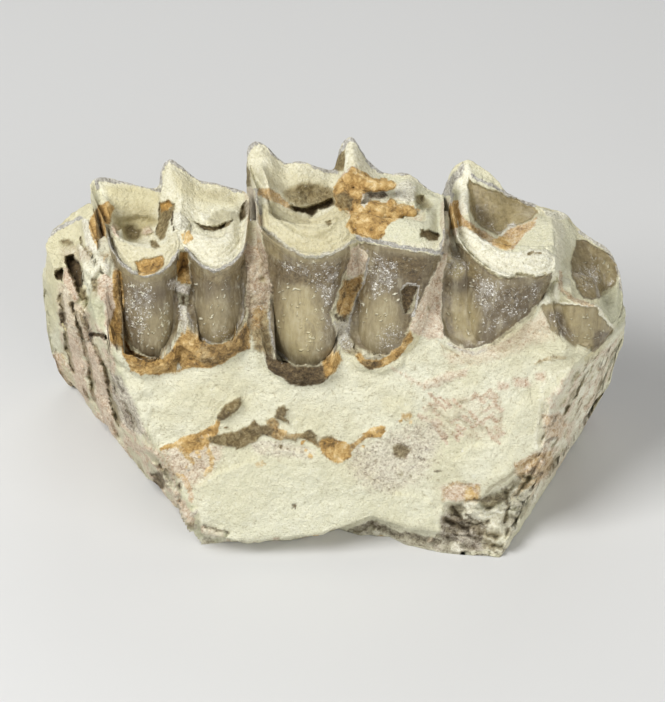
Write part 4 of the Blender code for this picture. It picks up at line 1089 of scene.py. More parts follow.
# Marks of the broken premolar: a cream dome, open hollows where its roots broke out, and a
# speckled enamel edge along its top.
area(((44, 262), (46, 240), (56, 228), (68, 224), (80, 217), (84, 226), (82, 244), (74, 252), (66, 252),
      (64, 262), (62, 300), (56, 334), (42, 334)), soft=2.5, tan=0.3, chalk=0.3, green=0.25)
stroke(((46, 240), (56, 230), (66, 225), (74, 221), (81, 217)), half=1.3, lift=0.12, band=0.9, fleck=0.8)
area(((60, 240), (68, 238), (74, 243), (72, 249), (64, 250)), soft=2.5, lift=-0.15, olive=0.85, dark=0.1)
area(((66, 249), (72, 246), (76, 251), (72, 255), (66, 254)), soft=1.2, lift=0.25, chalk=0.6, dark=0.0,
     olive=0.0)
area(((66, 257), (72, 256), (78, 262), (83, 270), (84, 282), (80, 292), (76, 290), (72, 278), (67, 268)),
     soft=1.6, lift=-1.8, dark=0.85, olive=0.6)
area(((80, 288), (86, 290), (88, 300), (82, 301), (78, 296)), soft=1.8, lift=-0.4, olive=0.8, dark=0.2)
area(((56, 271), (62, 269), (65, 275), (62, 281), (56, 279)), soft=1.4, lift=-1.4, dark=0.95)
area(((63, 267), (70, 270), (76, 284), (80, 298), (74, 304), (68, 296), (64, 282)), lift=0.45, pink=0.9,
     dark=0.0, chalk=0.15)
area(((57, 282), (66, 284), (74, 300), (84, 306), (88, 322), (80, 334), (66, 330), (58, 310)), soft=2.5,
     lift=0.1, pink=0.55, chalk=0.5, lilac=0.15, fleck=0.2)
area(((59, 312), (64, 313), (66, 324), (61, 327)), lift=-0.8, dark=0.75, olive=0.4)
area(((45, 280), (54, 280), (57, 310), (52, 336), (44, 334)), soft=2, lift=0.1, green=0.5, chalk=0.25)
area(((42, 322), (56, 330), (60, 346), (50, 352), (42, 340)), soft=2, lift=0.15, chalk=0.4, lilac=0.1)
area(((58, 246), (92, 246), (92, 262), (62, 264)), soft=4, pink=0.45, olive=0.25)


# The first molar, the most worn crown: glossy brown and tan enamel round two rows of crescents of
# cream dentine, rooted in the block. A bellied wall goes up from the stub to the worn rim, and the top
# inside it is dished. Its top's tables run along x as (x, height) and (x, lean).
FIRST_RIM = (
    (-21.6, 3.2, 27.9), (-20.9, 0.4, 28.0), (-20.2, -2.4, 28.1), (-19.0, -4.5, 28.1),
    (-17.6, -5.6, 28.1), (-16.1, -5.7, 28.2), (-14.8, -4.7, 28.3), (-14.0, -2.6, 28.5),
    (-13.4, -2.7, 28.6), (-12.6, -4.3, 28.7), (-11.6, -5.5, 28.8), (-10.2, -5.9, 28.8),
    (-9.0, -5.1, 28.8), (-8.2, -3.2, 28.8), (-7.9, 0.0, 28.7), (-7.8, 3.4, 28.3),
    (-7.9, 6.6, 27.4), (-8.8, 8.2, 26.8), (-10.8, 8.6, 27.2), (-12.7, 8.9, 27.5),
    (-14.0, 9.1, 28.7), (-15.3, 9.2, 29.7), (-16.1, 9.0, 28.7), (-16.6, 8.6, 26.8),
    (-18.2, 8.7, 26.9), (-20.0, 8.8, 27.4), (-22.0, 8.6, 28.0), (-22.8, 7.4, 27.8),
)
FIRST_TOP = dict(
    middle_y=2.9,
    pits=((-21.0, 26.0), (-19.2, 24.4), (-17.0, 24.6), (-15.4, 26.6), (-14.2, 27.2), (-13.0, 26.4),
          (-11.0, 26.0), (-9.4, 26.2), (-8.2, 26.6)),
    lean=((-22, 0.9), (-20, 0.3), (-17, 0.0), (-14, 0.2), (-8, -0.2)),
    valley=(-13.7, 2.6),
    flare=1.0,
)
ROOT_FOOT = 16.5
ROOT_TAPER = 0.97
CROWN_WALL_RINGS, CROWN_TOP_RINGS = 100, 62
MIDDLE_INSET = 3
SEAM_CELLS = 60


def molar_rings(rim, middle_y, pits, lean, valley, flare, around=500):
    """Rings from the stub up the wall to the rim, then inward over the worn top.

    Wall: stub plus the rim's offset from it times height, plus a belly that is a half sine.
    Top: from the rim towards a middle line, dropping to the hollows by S curves that are late
    on the tongue side, where the crescents are broad, and even on the cheek side. It ends in a
    seam along the middle line, in SEAM_CELLS steps.
    """
    r = closed_outline(rim, around)
    x0, x1 = r[:, 0].min(), r[:, 0].max()
    mid_x = (x0 + x1) / 2
    cheek = ease(r[:, 1], -1.0, 6.0)
    base = r.copy()
    base[:, 0] = mid_x + (r[:, 0] - mid_x) * ROOT_TAPER + along(r[:, 0], lean)
    base[:, 1] = r[:, 1] + 1.3 * cheek - flare * (1 - cheek)
    base[:, 1] += valley[1] * np.exp(-(((r[:, 0] - valley[0]) / 0.9) ** 2)) * (1 - cheek)
    base[:, 2] = ROOT_FOOT
    out = r[:, :2] - np.column_stack([np.clip(r[:, 0], x0 + 4, x1 - 4), np.full(len(r), middle_y)])
    out /= np.linalg.norm(out, axis=1)[:, None]
    corner = r[np.argmin(r[:, 0] - 0.5 * r[:, 1])]
    style = np.exp(-(((r[:, :2] - corner[:2]) ** 2).sum(axis=1)) / 1.6**2)
    s = np.linspace(0.0, 0.995, CROWN_WALL_RINGS)[:, None, None]
    wall = base + (r - base) * s
    belly = (0.3 + 0.8 * style)[None] * np.sin(np.pi * np.minimum(1.0, s[..., 0] * 1.05))
    belly = belly + 0.45 * (1 - cheek) * np.exp(-(((s[..., 0] - 0.36) / 0.22) ** 2))
    rib = np.clip(r[:, 2] - r[:, 2].mean(), -1.2, 1.8)
    belly = belly + 0.32 * cheek * rib * np.sin(np.pi * np.minimum(1.0, 0.25 + 0.75 * s[..., 0]))
    wall[..., :2] += out * belly[..., None]
    centre_x = np.clip(r[:, 0], x0 + MIDDLE_INSET, x1 - MIDDLE_INSET)
    centre = np.column_stack([centre_x, np.full(len(r), middle_y)])
    pit_floor = along(centre_x, pits)
    steep = cheek * ease(r[:, 0], x0, x0 + 2.5) * (1 - ease(r[:, 0], x1 - 2.5, x1))
    t = np.concatenate([[0.004, 0.012], np.linspace(0.025, 0.96, CROWN_TOP_RINGS)])[:, None]
    tongue_side = 0.35 * ease(t, 0.03, 0.2) - 0.25 * ease(t, 0.2, 0.5) + ease(t, 0.55, 0.84)
    cheek_side = 0.15 * ease(t, 0.0, 0.1) + 0.85 * ease(t, 0.08, 0.7)
    drop = np.clip(tongue_side * (1 - steep) + cheek_side * steep, 0, 1)
    top = np.empty((len(t), len(r), 3))
    top[..., :2] = r[:, :2] + (centre - r[:, :2]) * t[..., None]
    worn_edge = 0.06 * ease(t, 0.0, 0.012) * (1 - ease(t, 0.012, 0.05))
    top[..., 2] = r[:, 2] + (pit_floor - r[:, 2]) * drop + worn_edge
    cell = (x1 - x0 - 2 * MIDDLE_INSET) / SEAM_CELLS
    seam_x = x0 + MIDDLE_INSET + np.round((centre_x - x0 - MIDDLE_INSET) / cell) * cell
    seam = np.column_stack([seam_x, centre[:, 1], along(seam_x, pits)])
    foot = np.tile(wall[0].mean(axis=0), (len(r), 1))
    rings = np.concatenate([foot[None], wall, top, seam[None]])
    flags = np.concatenate([np.zeros((1, 1)), np.ones((len(wall), 1)), np.full((len(top) + 1, 1), 2.0)])
    return rings, flags


def crown_sides(p, part):
    """Walls out of view: dark above, tan to the root, in streaks; flecked, and rusty at the neck.
    The worn top (part 2) is cream there, and olive in its hollows. Each is an S over its noise."""
    top = part > 1.5
    deep = ease(27.6 - p[:, 2] + 0.5 * rough(p * 0.8, 66), 0.0, 1.6)
    up = ease(p[:, 2], 18.0, 27.5)
    streak = rough(p * (0.8, 0.8, 0.12), 62, 4)
    return {
        "enamel": np.where(top, 0.0, 1.0),
        "tan": np.where(top, 0.5, 0.85 - 0.65 * up + 0.35 * streak),
        "fleck": 0.35 + 0.6 * ease(rough(p * 0.35, 63), 0.0, 0.6),
        "lilac": 0.6 * ease(streak, 0.25, 0.8) * ~top,
        "olive": np.where(top, 0.75 * deep, 0.5 * ease(-streak, 0.15, 0.7)),
        "ochre": 0.9 * ease(20.2 - p[:, 2] + 1.3 * rough(p * 0.5, 64), 0.0, 1.2),
        "chalk": np.where(top, 0.5 * (1.0 - deep), 0.5 * ease(rough(p * 0.5, 65), 0.55, 0.8)),
    }


enamel = fossil_finish("fossil_enamel", linear(226, 222, 192), linear(210, 202, 165), 0.24)
crown = piece_of("first_molar_crown", *skin_of(*molar_rings(FIRST_RIM, **FIRST_TOP)), enamel, crown_sides)
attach(crown, "root")
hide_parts("first_molar")

# Marks of the first molar, the most worn one.
area(((98, 188), (97, 178), (128, 182), (160, 190), (168, 159), (192, 174), (242, 191), (256, 191),
      (254, 226), (248, 244), (232, 264), (210, 271), (196, 262), (184, 246), (176, 256), (160, 274),
      (144, 277), (130, 272), (116, 256), (108, 238), (112, 224), (106, 200)), soft=1.2, chalk=0.55,
     enamel=0.0)
# the inner cheek walls of both lobes are tan; the olive low down on them is painted shade towards the hollows
area(((104, 186), (134, 184), (156, 190), (161, 200), (152, 216), (130, 218), (112, 208)), soft=5, tan=0.6,
     chalk=0.35, green=0.1)
area(((112, 206), (134, 202), (156, 206), (158, 218), (130, 220), (114, 216)), soft=5, olive=0.3)
area(((170, 170), (200, 184), (232, 192), (248, 196), (238, 208), (206, 206), (178, 192)), soft=5, tan=0.4,
     chalk=0.45, green=0.1)
area(((196, 186), (226, 192), (240, 198), (230, 204), (206, 198)), soft=4, olive=0.25)
area(((110, 214), (130, 212), (156, 216), (160, 224), (140, 226), (116, 224)), soft=4, olive=0.4, tan=0.5,
     chalk=0.15)
area(((114, 223), (124, 219), (136, 217), (148, 218), (157, 221), (150, 225), (144, 230), (141, 238),
      (136, 241), (126, 239), (119, 233)), soft=4.0, lift=-0.7, dark=0.0, olive=0.35, ochre=0.15, tan=0.7,
     chalk=0.15)
area(((124, 228), (134, 226), (142, 232), (139, 239), (130, 240)), soft=3, lift=-0.5, dark=0.3, olive=0.75)
area(((141, 226), (150, 226), (153, 232), (146, 236), (141, 234)), soft=1.4, lift=0.5, pink=0.7, chalk=0.3,
     dark=0.0, olive=0.2)
area(((112, 222), (119, 228), (122, 236), (118, 238), (112, 230)), soft=1.3, lift=0.3, pink=0.9, ochre=0.2,
     dark=0.0)
area(((160, 204), (168, 201), (175, 204), (174, 211), (170, 219), (168, 228), (165, 237), (160, 240),
      (155, 236), (154, 231), (158, 226), (159, 217), (158, 210)), soft=1.3, lift=-0.5, olive=0.95,
     dark=0.18, chalk=0.0, lilac=0.25)
area(((160, 203), (169, 200), (172, 205), (166, 212), (161, 212)), soft=2, ochre=0.9)
area(((150, 240), (157, 242), (160, 247), (155, 249), (151, 246)), soft=1.1, lift=-0.3, olive=0.9,
     dark=0.25, chalk=0.0)
area(((109, 230), (120, 240), (134, 246), (150, 248), (164, 242), (176, 232), (180, 242), (178, 251),
      (170, 264), (160, 274), (144, 277), (130, 272), (118, 258), (109, 242)), soft=1.3, lift=0.2,
     layers=(4.2, 0.05), chalk=0.6, tan=0.4, grit=0.2)
stroke(((108, 238), (113, 251), (120, 262), (131, 271), (145, 277), (160, 273), (171, 263), (178, 251)),
       half=1.1, lift=0.08, band=0.75)
area(((133, 262), (142, 260), (152, 258), (163, 256), (164, 263), (160, 269), (155, 274), (146, 276),
      (138, 275), (137, 268)), soft=1.2, lift=-0.35, ochre=0.75, olive=0.75, dark=0.2, chalk=0.0, band=0.0)
area(((139, 268), (156, 268), (152, 275), (142, 276)), soft=1.8, ochre=1.0, dark=0.0, olive=0.0)
area(((173, 213), (180, 211), (186, 219), (189, 226), (184, 231), (178, 231), (174, 226)), soft=1.1,
     lift=0.35, chalk=1.0, band=0.3)
stroke(((173, 212), (172, 221), (174, 230)), half=0.8, lift=-0.3, dark=0.75)
stroke(((186, 218), (190, 224), (191, 232)), half=0.8, lift=-0.2, dark=0.45)
area(((180, 234), (190, 230), (193, 238), (188, 244), (183, 243)), soft=1.4, ochre=0.85, chalk=0.2)
stroke(((185, 231), (184, 240)), half=0.7, dark=0.35, ochre=0.4)
area(((194, 222), (206, 226), (216, 226), (226, 222), (233, 220), (230, 226), (216, 230), (204, 231)),
     soft=1.4, lift=-0.8, olive=0.9, dark=0.45, chalk=0.0)
area(((207, 219), (214, 211), (224, 209), (233, 212), (232, 219), (220, 224), (211, 226)), soft=3, lift=0.5,
     olive=0.45, green=0.4, chalk=0.3)
area(((200, 215), (205, 213), (209, 216), (206, 221), (201, 220)), soft=1.3, lift=0.25, chalk=1.0, band=0.2)
area(((241, 208), (246, 202), (250, 204), (249, 211), (245, 218), (240, 221)), soft=1.3, lift=-0.8,
     olive=0.9, dark=0.55, chalk=0.0)
area(((190, 232), (206, 234), (222, 232), (236, 226), (244, 220), (250, 216), (254, 222), (250, 240),
      (242, 254), (232, 264), (220, 270), (208, 270), (198, 264), (188, 252), (184, 244)), soft=1.4,
     lift=0.15, layers=(5.0, 0.05), chalk=0.85, tan=0.2, grit=0.12)
stroke(((186, 248), (192, 257), (201, 265), (211, 270), (221, 269), (232, 263), (242, 253), (249, 240),
        (253, 226), (256, 208), (257, 192)), half=1.1, lift=0.06, band=0.8, chalk=0.4)
stroke(((98, 188), (97, 179), (106, 180), (116, 182), (128, 182), (140, 184), (151, 188), (160, 190)),
       half=1.3, lift=0.05, band=1.0, chalk=0.0)
stroke(((161, 188), (160, 176), (163, 166), (168, 159), (178, 165), (192, 174), (204, 181), (218, 184),
        (230, 188), (242, 191), (256, 191)), half=1.3, lift=0.05, band=1.0, chalk=0.0)
area(((152, 184), (158, 181), (163, 184), (162, 190), (154, 188)), soft=1.0, lift=0.2, chalk=1.0, band=0.4)
area(((108, 234), (112, 250), (120, 264), (130, 273), (144, 279), (160, 276), (172, 264), (178, 254),
      (180, 268), (174, 282), (178, 300), (180, 318), (177, 336), (170, 350), (160, 358), (148, 357),
      (136, 349), (126, 337), (121, 318), (120, 300), (121, 284), (114, 268), (110, 252)), soft=1.3,
     enamel=1.0, chalk=0.0)
area(((113, 254), (124, 262), (128, 280), (124, 290), (116, 278)), soft=3, olive=0.35, lilac=0.3)
area(((140, 314), (166, 304), (176, 318), (172, 336), (160, 350), (148, 346), (142, 330)), soft=14, tan=0.5)
area(((124, 282), (150, 280), (158, 292), (152, 320), (140, 344), (126, 330), (122, 305)), soft=6,
     fleck=0.8, lilac=0.25)
stroke(((126, 338), (136, 350), (148, 357), (160, 358), (170, 350)), half=1.0, lift=-0.15, dark=0.5)
area(((184, 250), (194, 262), (206, 271), (220, 272), (234, 265), (245, 254), (247, 272), (245, 290),
      (246, 314), (240, 328), (230, 338), (219, 344), (208, 343), (198, 336), (190, 322), (187, 310),
      (190, 290), (190, 262)), soft=1.3, enamel=1.0, chalk=0.0)
area(((196, 300), (224, 294), (240, 308), (234, 328), (216, 340), (202, 332)), soft=16, tan=0.5)
area(((192, 262), (206, 272), (228, 270), (242, 260), (242, 280), (220, 288), (194, 282)), soft=9,
     olive=0.5, dark=0.38)
stroke(((243, 284), (244, 300), (242, 322)), half=0.8, band=0.5)
stroke(((187, 312), (192, 325), (200, 337), (210, 343)), half=1.0, band=0.5, fleck=0.5)
area(((210, 336), (222, 330), (236, 328), (240, 334), (226, 344), (214, 344)), soft=2.5, fleck=0.7, olive=0.4)


# The second molar, the tallest crown: brown enamel round two rows of crescents, worn to a cream dished
# plate, and rooted in the block. It has the first molar's kind of surface and finish, on its own
# outline, floor heights and lean.
SECOND_RIM = (
    (-7.1, 4.0, 30.2), (-7.0, 1.0, 30.5), (-6.8, -1.8, 30.7), (-5.4, -4.3, 30.9),
    (-3.5, -5.9, 31.0), (-1.3, -6.4, 31.1), (0.7, -6.0, 31.2), (2.0, -4.1, 31.3),
    (2.9, -4.3, 31.4), (4.4, -5.7, 31.5), (6.9, -6.3, 31.5), (8.9, -6.2, 31.2),
    (10.0, -4.9, 30.8), (10.3, -2.4, 30.5), (10.3, 0.8, 30.0), (10.4, 4.0, 28.8),
    (10.3, 7.2, 27.0), (9.1, 8.3, 26.8), (7.2, 9.1, 28.0), (5.0, 9.5, 27.8),
    (3.4, 10.1, 28.8), (1.9, 10.8, 31.0), (0.8, 10.6, 30.2), (0.1, 9.9, 28.0),
    (-1.2, 9.8, 28.3), (-3.0, 10.0, 28.8), (-4.6, 10.0, 28.7), (-6.0, 10.2, 30.2),
    (-7.2, 10.3, 31.0), (-8.0, 10.1, 30.3), (-8.0, 9.3, 29.4), (-7.6, 7.2, 29.2),
)
SECOND_TOP = dict(
    middle_y=2.4,
    pits=((-7, 28.6), (-4.5, 27.4), (-2.0, 26.4), (0.2, 27.2), (2.0, 29.0), (4.2, 28.6),
          (6.5, 28.2), (8.2, 27.8), (10, 28.4)),
    lean=((-8, 0.6), (-5, 0.3), (0, -0.7), (2.5, -1.5), (7, -2.2), (10, -2.6)),
    valley=(2.3, 3.2),
    flare=1.0,
)
second = piece_of("second_molar_crown", *skin_of(*molar_rings(SECOND_RIM, **SECOND_TOP)), enamel, crown_sides)
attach(second, "root")
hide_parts("second_molar")

# Marks of the second molar.
area(((243, 188), (242, 172), (252, 143), (259, 141), (274, 154), (300, 162), (326, 170), (347, 140),
      (353, 139), (372, 165), (410, 173), (436, 191), (452, 194), (446, 222), (440, 252), (404, 246),
      (366, 240), (352, 242), (338, 249), (326, 254), (310, 257), (294, 252), (276, 238), (262, 226),
      (260, 206), (252, 190)), soft=1.2, chalk=0.55, enamel=0.0)
area(((242, 172), (246, 160), (250, 172), (252, 187), (245, 190)), soft=2, olive=0.8, dark=0.3, chalk=0.0)
area(((252, 170), (272, 164), (300, 172), (326, 180), (334, 196), (316, 200), (290, 196), (264, 184)),
     soft=6, tan=0.35, chalk=0.55, green=0.1)
area(((258, 178), (284, 184), (310, 182), (326, 186), (318, 196), (284, 194)), soft=5, olive=0.3)
area(((282, 192), (300, 184), (322, 184), (336, 190), (336, 202), (322, 206), (300, 206), (288, 202)),
     soft=4, olive=0.8, dark=0.1, chalk=0.0)
area(((290, 206), (298, 207), (306, 208), (320, 203), (332, 199), (334, 203), (328, 207), (318, 210),
      (314, 216), (302, 213), (294, 211)), soft=1.6, lift=-1.6, dark=0.7, olive=0.9, chalk=0.0)
area(((298, 190), (318, 186), (332, 194), (322, 202), (304, 204)), soft=4, lift=-0.5, olive=0.8, dark=0.15)
area(((258, 188), (268, 187), (279, 193), (288, 202), (292, 210), (282, 206), (268, 200), (258, 196)),
     lift=0.2, ochre=0.6, pink=0.6, chalk=0.1)
stroke(((256, 191), (258, 202), (261, 214)), half=1.2, band=0.7, chalk=0.5)
area(((262, 204), (272, 201), (290, 210), (302, 216), (316, 217), (328, 211), (336, 205), (344, 209),
      (350, 214), (352, 226), (356, 238), (346, 246), (330, 254), (312, 257), (294, 252), (276, 237),
      (263, 226)), soft=1.4, lift=0.2, layers=(6.0, 0.06), chalk=0.55, tan=0.5, grit=0.25)
stroke(((262, 206), (272, 214), (282, 222), (296, 232), (310, 237), (324, 235), (333, 228), (338, 219)),
       half=1.2, lift=-0.12, green=0.6, olive=0.35, chalk=0.4)
area(((266, 208), (278, 207), (292, 216), (302, 224), (294, 228), (278, 218)), soft=2.5, lift=-0.1,
     green=0.6, chalk=0.6)
area(((325, 221), (330, 220), (332, 224), (327, 226)), soft=1.0, lift=-0.25, olive=0.8, dark=0.3, chalk=0.0)
stroke(((262, 227), (274, 236), (286, 246), (300, 254), (316, 257), (332, 253), (344, 247), (354, 241)),
       half=1.2, lift=0.05, band=0.5, chalk=0.7)
area(((327, 168), (338, 157), (347, 146), (345, 158), (344, 170), (336, 173)), soft=1.2, lift=-0.15,
     olive=0.9, dark=0.2, tan=0.3, chalk=0.0)
stroke(((347, 144), (346, 158), (345, 171)), half=0.9, lift=0.15, chalk=1.0, olive=0.0)
area(((349, 142), (356, 142), (362, 156), (370, 166), (364, 172), (354, 168), (348, 160)), soft=1.8,
     lift=0.15, chalk=0.7, tan=0.2)
area(((376, 176), (400, 176), (418, 184), (440, 196), (446, 212), (440, 236), (420, 244), (390, 240),
      (380, 236), (386, 226), (396, 217), (414, 217), (418, 208), (404, 200), (388, 196)), soft=2,
     chalk=0.45, green=0.7)
area(((414, 192), (424, 196), (432, 206), (430, 212), (420, 208)), soft=3, lift=-0.5, olive=0.6, chalk=0.2)
area(((396, 184), (408, 180), (416, 186), (416, 200), (406, 204), (396, 198)), soft=1.6, lift=0.35,
     chalk=1.0, lilac=0.35, fleck=0.5, green=0.0)
area(((416, 196), (424, 196), (424, 204), (417, 205)), lift=-0.4, olive=0.8, dark=0.3)
area(((421, 229), (431, 231), (439, 235), (438, 241), (429, 241), (421, 236)), soft=1.2, lift=-0.7,
     olive=0.9, dark=0.55, chalk=0.0, green=0.0)
stroke(((412, 222), (424, 216), (438, 214)), lift=-0.12, green=0.7, olive=0.2)
stroke(((358, 238), (368, 240), (380, 242), (404, 247), (424, 250), (441, 253)), lift=0.08, band=0.95,
       lilac=0.4, chalk=0.2)
stroke(((441, 252), (443, 236), (448, 214), (452, 196)), half=1.0, lift=0.05, band=0.7, chalk=0.3)
stroke(((242, 188), (242, 173), (246, 154), (252, 144), (259, 141), (266, 144), (274, 154), (284, 161),
        (300, 162), (309, 161), (316, 166), (324, 170), (336, 173)), half=1.6, lift=0.05, band=1.0,
       chalk=0.0)
stroke(((326, 169), (338, 155), (347, 141), (352, 139), (358, 142), (364, 154), (372, 165), (380, 172),
        (396, 173), (410, 173), (416, 176), (426, 185), (436, 191), (452, 194)), lift=0.05, band=1.0,
       chalk=0.0)
area(((262, 228), (274, 238), (288, 249), (304, 257), (318, 259), (334, 254), (350, 246), (350, 262),
      (344, 274), (340, 286), (334, 302), (329, 314), (336, 328), (338, 346), (330, 359), (317, 365),
      (298, 365), (281, 358), (274, 350), (270, 332), (269, 312), (272, 296), (270, 278), (266, 254)),
     soft=1.3, enamel=1.0, chalk=0.0)
area(((262, 230), (276, 240), (286, 252), (282, 262), (268, 254)), soft=4, tan=0.6, olive=0.4)
area(((268, 258), (290, 256), (320, 260), (348, 256), (344, 276), (330, 300), (318, 280), (290, 276),
      (272, 290)), soft=10, dark=0.42, lilac=0.2)
area(((288, 285), (310, 282), (322, 310), (324, 345), (312, 360), (292, 358), (278, 340), (280, 308)),
     soft=15, tan=0.95)
area(((272, 262), (304, 270), (330, 268), (345, 262), (343, 284), (316, 287), (286, 284), (274, 276)),
     soft=5, dark=0.55, olive=0.25)
area(((286, 326), (306, 322), (312, 340), (304, 354), (288, 350)), soft=4, tan=1.0, ochre=0.12)
area(((276, 258), (300, 262), (330, 262), (344, 266), (336, 296), (330, 330), (322, 340), (322, 300),
      (306, 280), (282, 276)), soft=7, fleck=0.7, lilac=0.1)
area(((322, 286), (332, 288), (330, 304), (324, 310)), soft=3, fleck=1.0, chalk=0.25)
stroke(((270, 312), (269, 322), (272, 338), (276, 350), (286, 359)), half=1.0, band=0.6, fleck=0.5)
area(((358, 242), (380, 246), (404, 250), (424, 254), (441, 256), (434, 272), (426, 288), (416, 310),
      (410, 322), (404, 340), (396, 350), (384, 355), (370, 355), (358, 350), (349, 338), (348, 325),
      (353, 311), (358, 294), (366, 276), (368, 256)), soft=1.3, enamel=1.0, chalk=0.0)
area(((390, 254), (438, 258), (430, 280), (418, 300), (404, 284), (392, 270)), soft=6, dark=0.6, olive=0.2)
area(((372, 256), (400, 258), (430, 260), (426, 273), (400, 274), (374, 268)), soft=3, dark=0.6, olive=0.4)
area(((366, 300), (388, 292), (398, 306), (400, 326), (388, 346), (370, 348), (356, 336)), soft=13, tan=0.62)
area(((372, 252), (396, 262), (404, 274), (392, 292), (374, 300), (366, 284)), soft=5, fleck=0.85, lilac=0.2)
area(((356, 300), (366, 296), (364, 312), (354, 322)), soft=3, fleck=0.7)
area(((376, 330), (400, 322), (404, 336), (394, 350), (378, 352)), soft=4, fleck=0.8)
area(((401, 291), (406, 286), (417, 287), (416, 300), (412, 313), (405, 313), (401, 302)), soft=1.2,
     lift=-0.6, dark=0.9, enamel=0.0, ochre=0.1)
stroke(((401, 290), (406, 284), (418, 286), (418, 298), (413, 316)), half=0.8, band=0.8, fleck=0.5)
stroke(((406, 318), (408, 330), (404, 342)), half=1.3, dark=0.5)
stroke(((368, 258), (366, 276), (358, 294), (352, 312), (348, 326), (350, 340)), half=0.9, band=0.6)
area(((243, 188), (253, 187), (258, 206), (259, 228), (247, 226), (244, 206)), pink=0.5, olive=0.1,
     chalk=0.6, enamel=0.0, band=0.0)


# The third molar, rooted at the right end: a glossy enamel wall, a bright worn plate, and a last lobe
# lower down that is open where its enamel broke. It too has the first molar's kind of surface.
THIRD_RIM = (
    (11.0, 3.4, 29.2), (11.2, 0.4, 29.2), (11.6, -2.1, 29.1), (12.7, -4.2, 29.0),
    (14.1, -5.8, 28.9), (15.9, -6.6, 28.8), (17.7, -6.6, 28.5), (19.4, -5.8, 28.0),
    (20.4, -4.2, 27.4), (20.8, -3.4, 26.2), (21.2, -5.0, 25.0), (22.6, -5.9, 24.8),
    (24.1, -5.7, 24.3), (25.2, -5.2, 22.9), (26.0, -4.2, 20.8), (26.9, -1.8, 19.8),
    (27.4, 1.0, 19.6), (27.1, 3.6, 20.7), (26.2, 5.2, 21.9), (24.7, 6.2, 22.4),
    (23.2, 7.1, 23.1), (22.2, 7.6, 24.3), (20.6, 7.9, 24.7), (18.6, 8.2, 25.3),
    (16.6, 8.5, 26.2), (15.2, 9.1, 27.8), (13.8, 9.4, 28.8), (12.7, 9.5, 29.4),
    (11.5, 9.3, 28.7), (10.9, 7.6, 28.6), (10.9, 5.6, 29.0),
)
THIRD_TOP = dict(
    middle_y=2.2,
    pits=((11, 27.6), (13.5, 25.4), (16.5, 24.6), (19.0, 25.6), (20.6, 26.0), (22.5, 23.0),
          (24.0, 21.6), (26, 20.2)),
    lean=((11, -0.4), (15, -1.6), (19, -2.2), (20.8, -1.8), (22, -1.5), (27, -1.4)),
    valley=(20.8, 1.6),
    flare=0.1,
)
third = piece_of("third_molar_crown", *skin_of(*molar_rings(THIRD_RIM, **THIRD_TOP)), enamel, crown_sides)
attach(third, "root")
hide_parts("third_molar")

# Marks of the third molar.
area(((441, 190), (446, 181), (455, 169), (464, 162), (469, 161), (480, 171), (492, 177), (502, 192),
      (530, 204), (552, 212), (568, 214), (580, 232), (608, 251), (618, 268), (625, 300), (622, 330),
      (600, 350), (560, 336), (540, 302), (552, 262), (540, 276), (500, 277), (470, 254), (452, 234),
      (446, 222)), soft=1.2, chalk=0.25, green=0.3, enamel=0.0)
area(((441, 190), (447, 181), (456, 170), (464, 162), (466, 168), (456, 182), (452, 194)), soft=1.6,
     band=0.7, lilac=0.5, chalk=0.0)
area(((464, 164), (470, 163), (473, 176), (470, 197), (468, 214), (460, 218), (457, 204), (460, 190),
      (452, 190), (458, 176)), lift=0.12, chalk=0.9, green=0.0)
area(((468, 178), (480, 187), (500, 193), (514, 199), (532, 205), (538, 213), (532, 219), (520, 224),
      (508, 226), (498, 236), (486, 230), (475, 221), (470, 211)), soft=1.4, lift=-0.35, enamel=1.0,
     tan=0.95, olive=0.5, chalk=0.0, green=0.0)
area(((470, 204), (486, 206), (496, 222), (494, 232), (478, 222)), soft=4, tan=0.1, lilac=0.35, fleck=0.5)
stroke(((474, 196), (479, 204), (482, 214)), half=0.8, chalk=0.5)
stroke(((484, 198), (486, 208)), half=0.7, chalk=0.4)
stroke(((500, 234), (508, 228), (514, 224)), half=1.6, lift=0.1, chalk=0.7, lilac=0.3, fleck=1.0)
stroke(((472, 176), (486, 183), (500, 190), (514, 197), (534, 205)), half=1.2, lift=0.05, band=0.9, chalk=0.3)
area(((440, 202), (449, 197), (452, 212), (446, 228), (440, 226)), pink=0.5, chalk=0.4, olive=0.2,
     enamel=0.0, band=0.0)
area(((461, 216), (470, 222), (486, 233), (498, 239), (510, 227), (520, 224), (532, 220), (538, 216),
      (536, 224), (522, 238), (512, 251), (500, 249), (486, 241), (472, 231), (461, 225)), soft=1.6,
     lift=0.15, ochre=0.55, pink=0.75, enamel=0.0, chalk=0.0)
area(((494, 240), (506, 236), (512, 246), (504, 251)), soft=1.8, ochre=0.95)
area(((464, 221), (474, 226), (480, 234), (470, 230)), ochre=0.7)
area(((453, 232), (462, 226), (476, 233), (490, 243), (500, 251), (516, 253), (532, 249), (548, 251),
      (557, 257), (556, 267), (548, 273), (536, 276), (520, 273), (506, 277), (496, 273), (484, 265),
      (470, 253), (460, 242)), soft=1.1, lift=0.4, layers=(6.5, 0.03), chalk=1.0, enamel=0.0)
stroke(((528, 253), (534, 252), (540, 254)), half=0.8, lift=-0.15, olive=0.8, dark=0.3)
stroke(((459, 244), (470, 256), (484, 268), (498, 277), (508, 279), (522, 275), (538, 278), (550, 274)),
       half=1.0, lift=-0.2, olive=0.6, dark=0.25)
area(((530, 222), (538, 216), (552, 216), (566, 218), (578, 232), (574, 246), (568, 256), (562, 262),
      (558, 254), (546, 248), (530, 247), (520, 250), (516, 248), (524, 236)), soft=1.8, lift=0.2,
     green=0.6, tan=0.1, chalk=0.45, enamel=0.0)
area(((540, 208), (552, 211), (562, 210), (570, 218), (562, 220), (548, 216)), soft=1.3, lift=0.3,
     chalk=0.8, band=0.35)
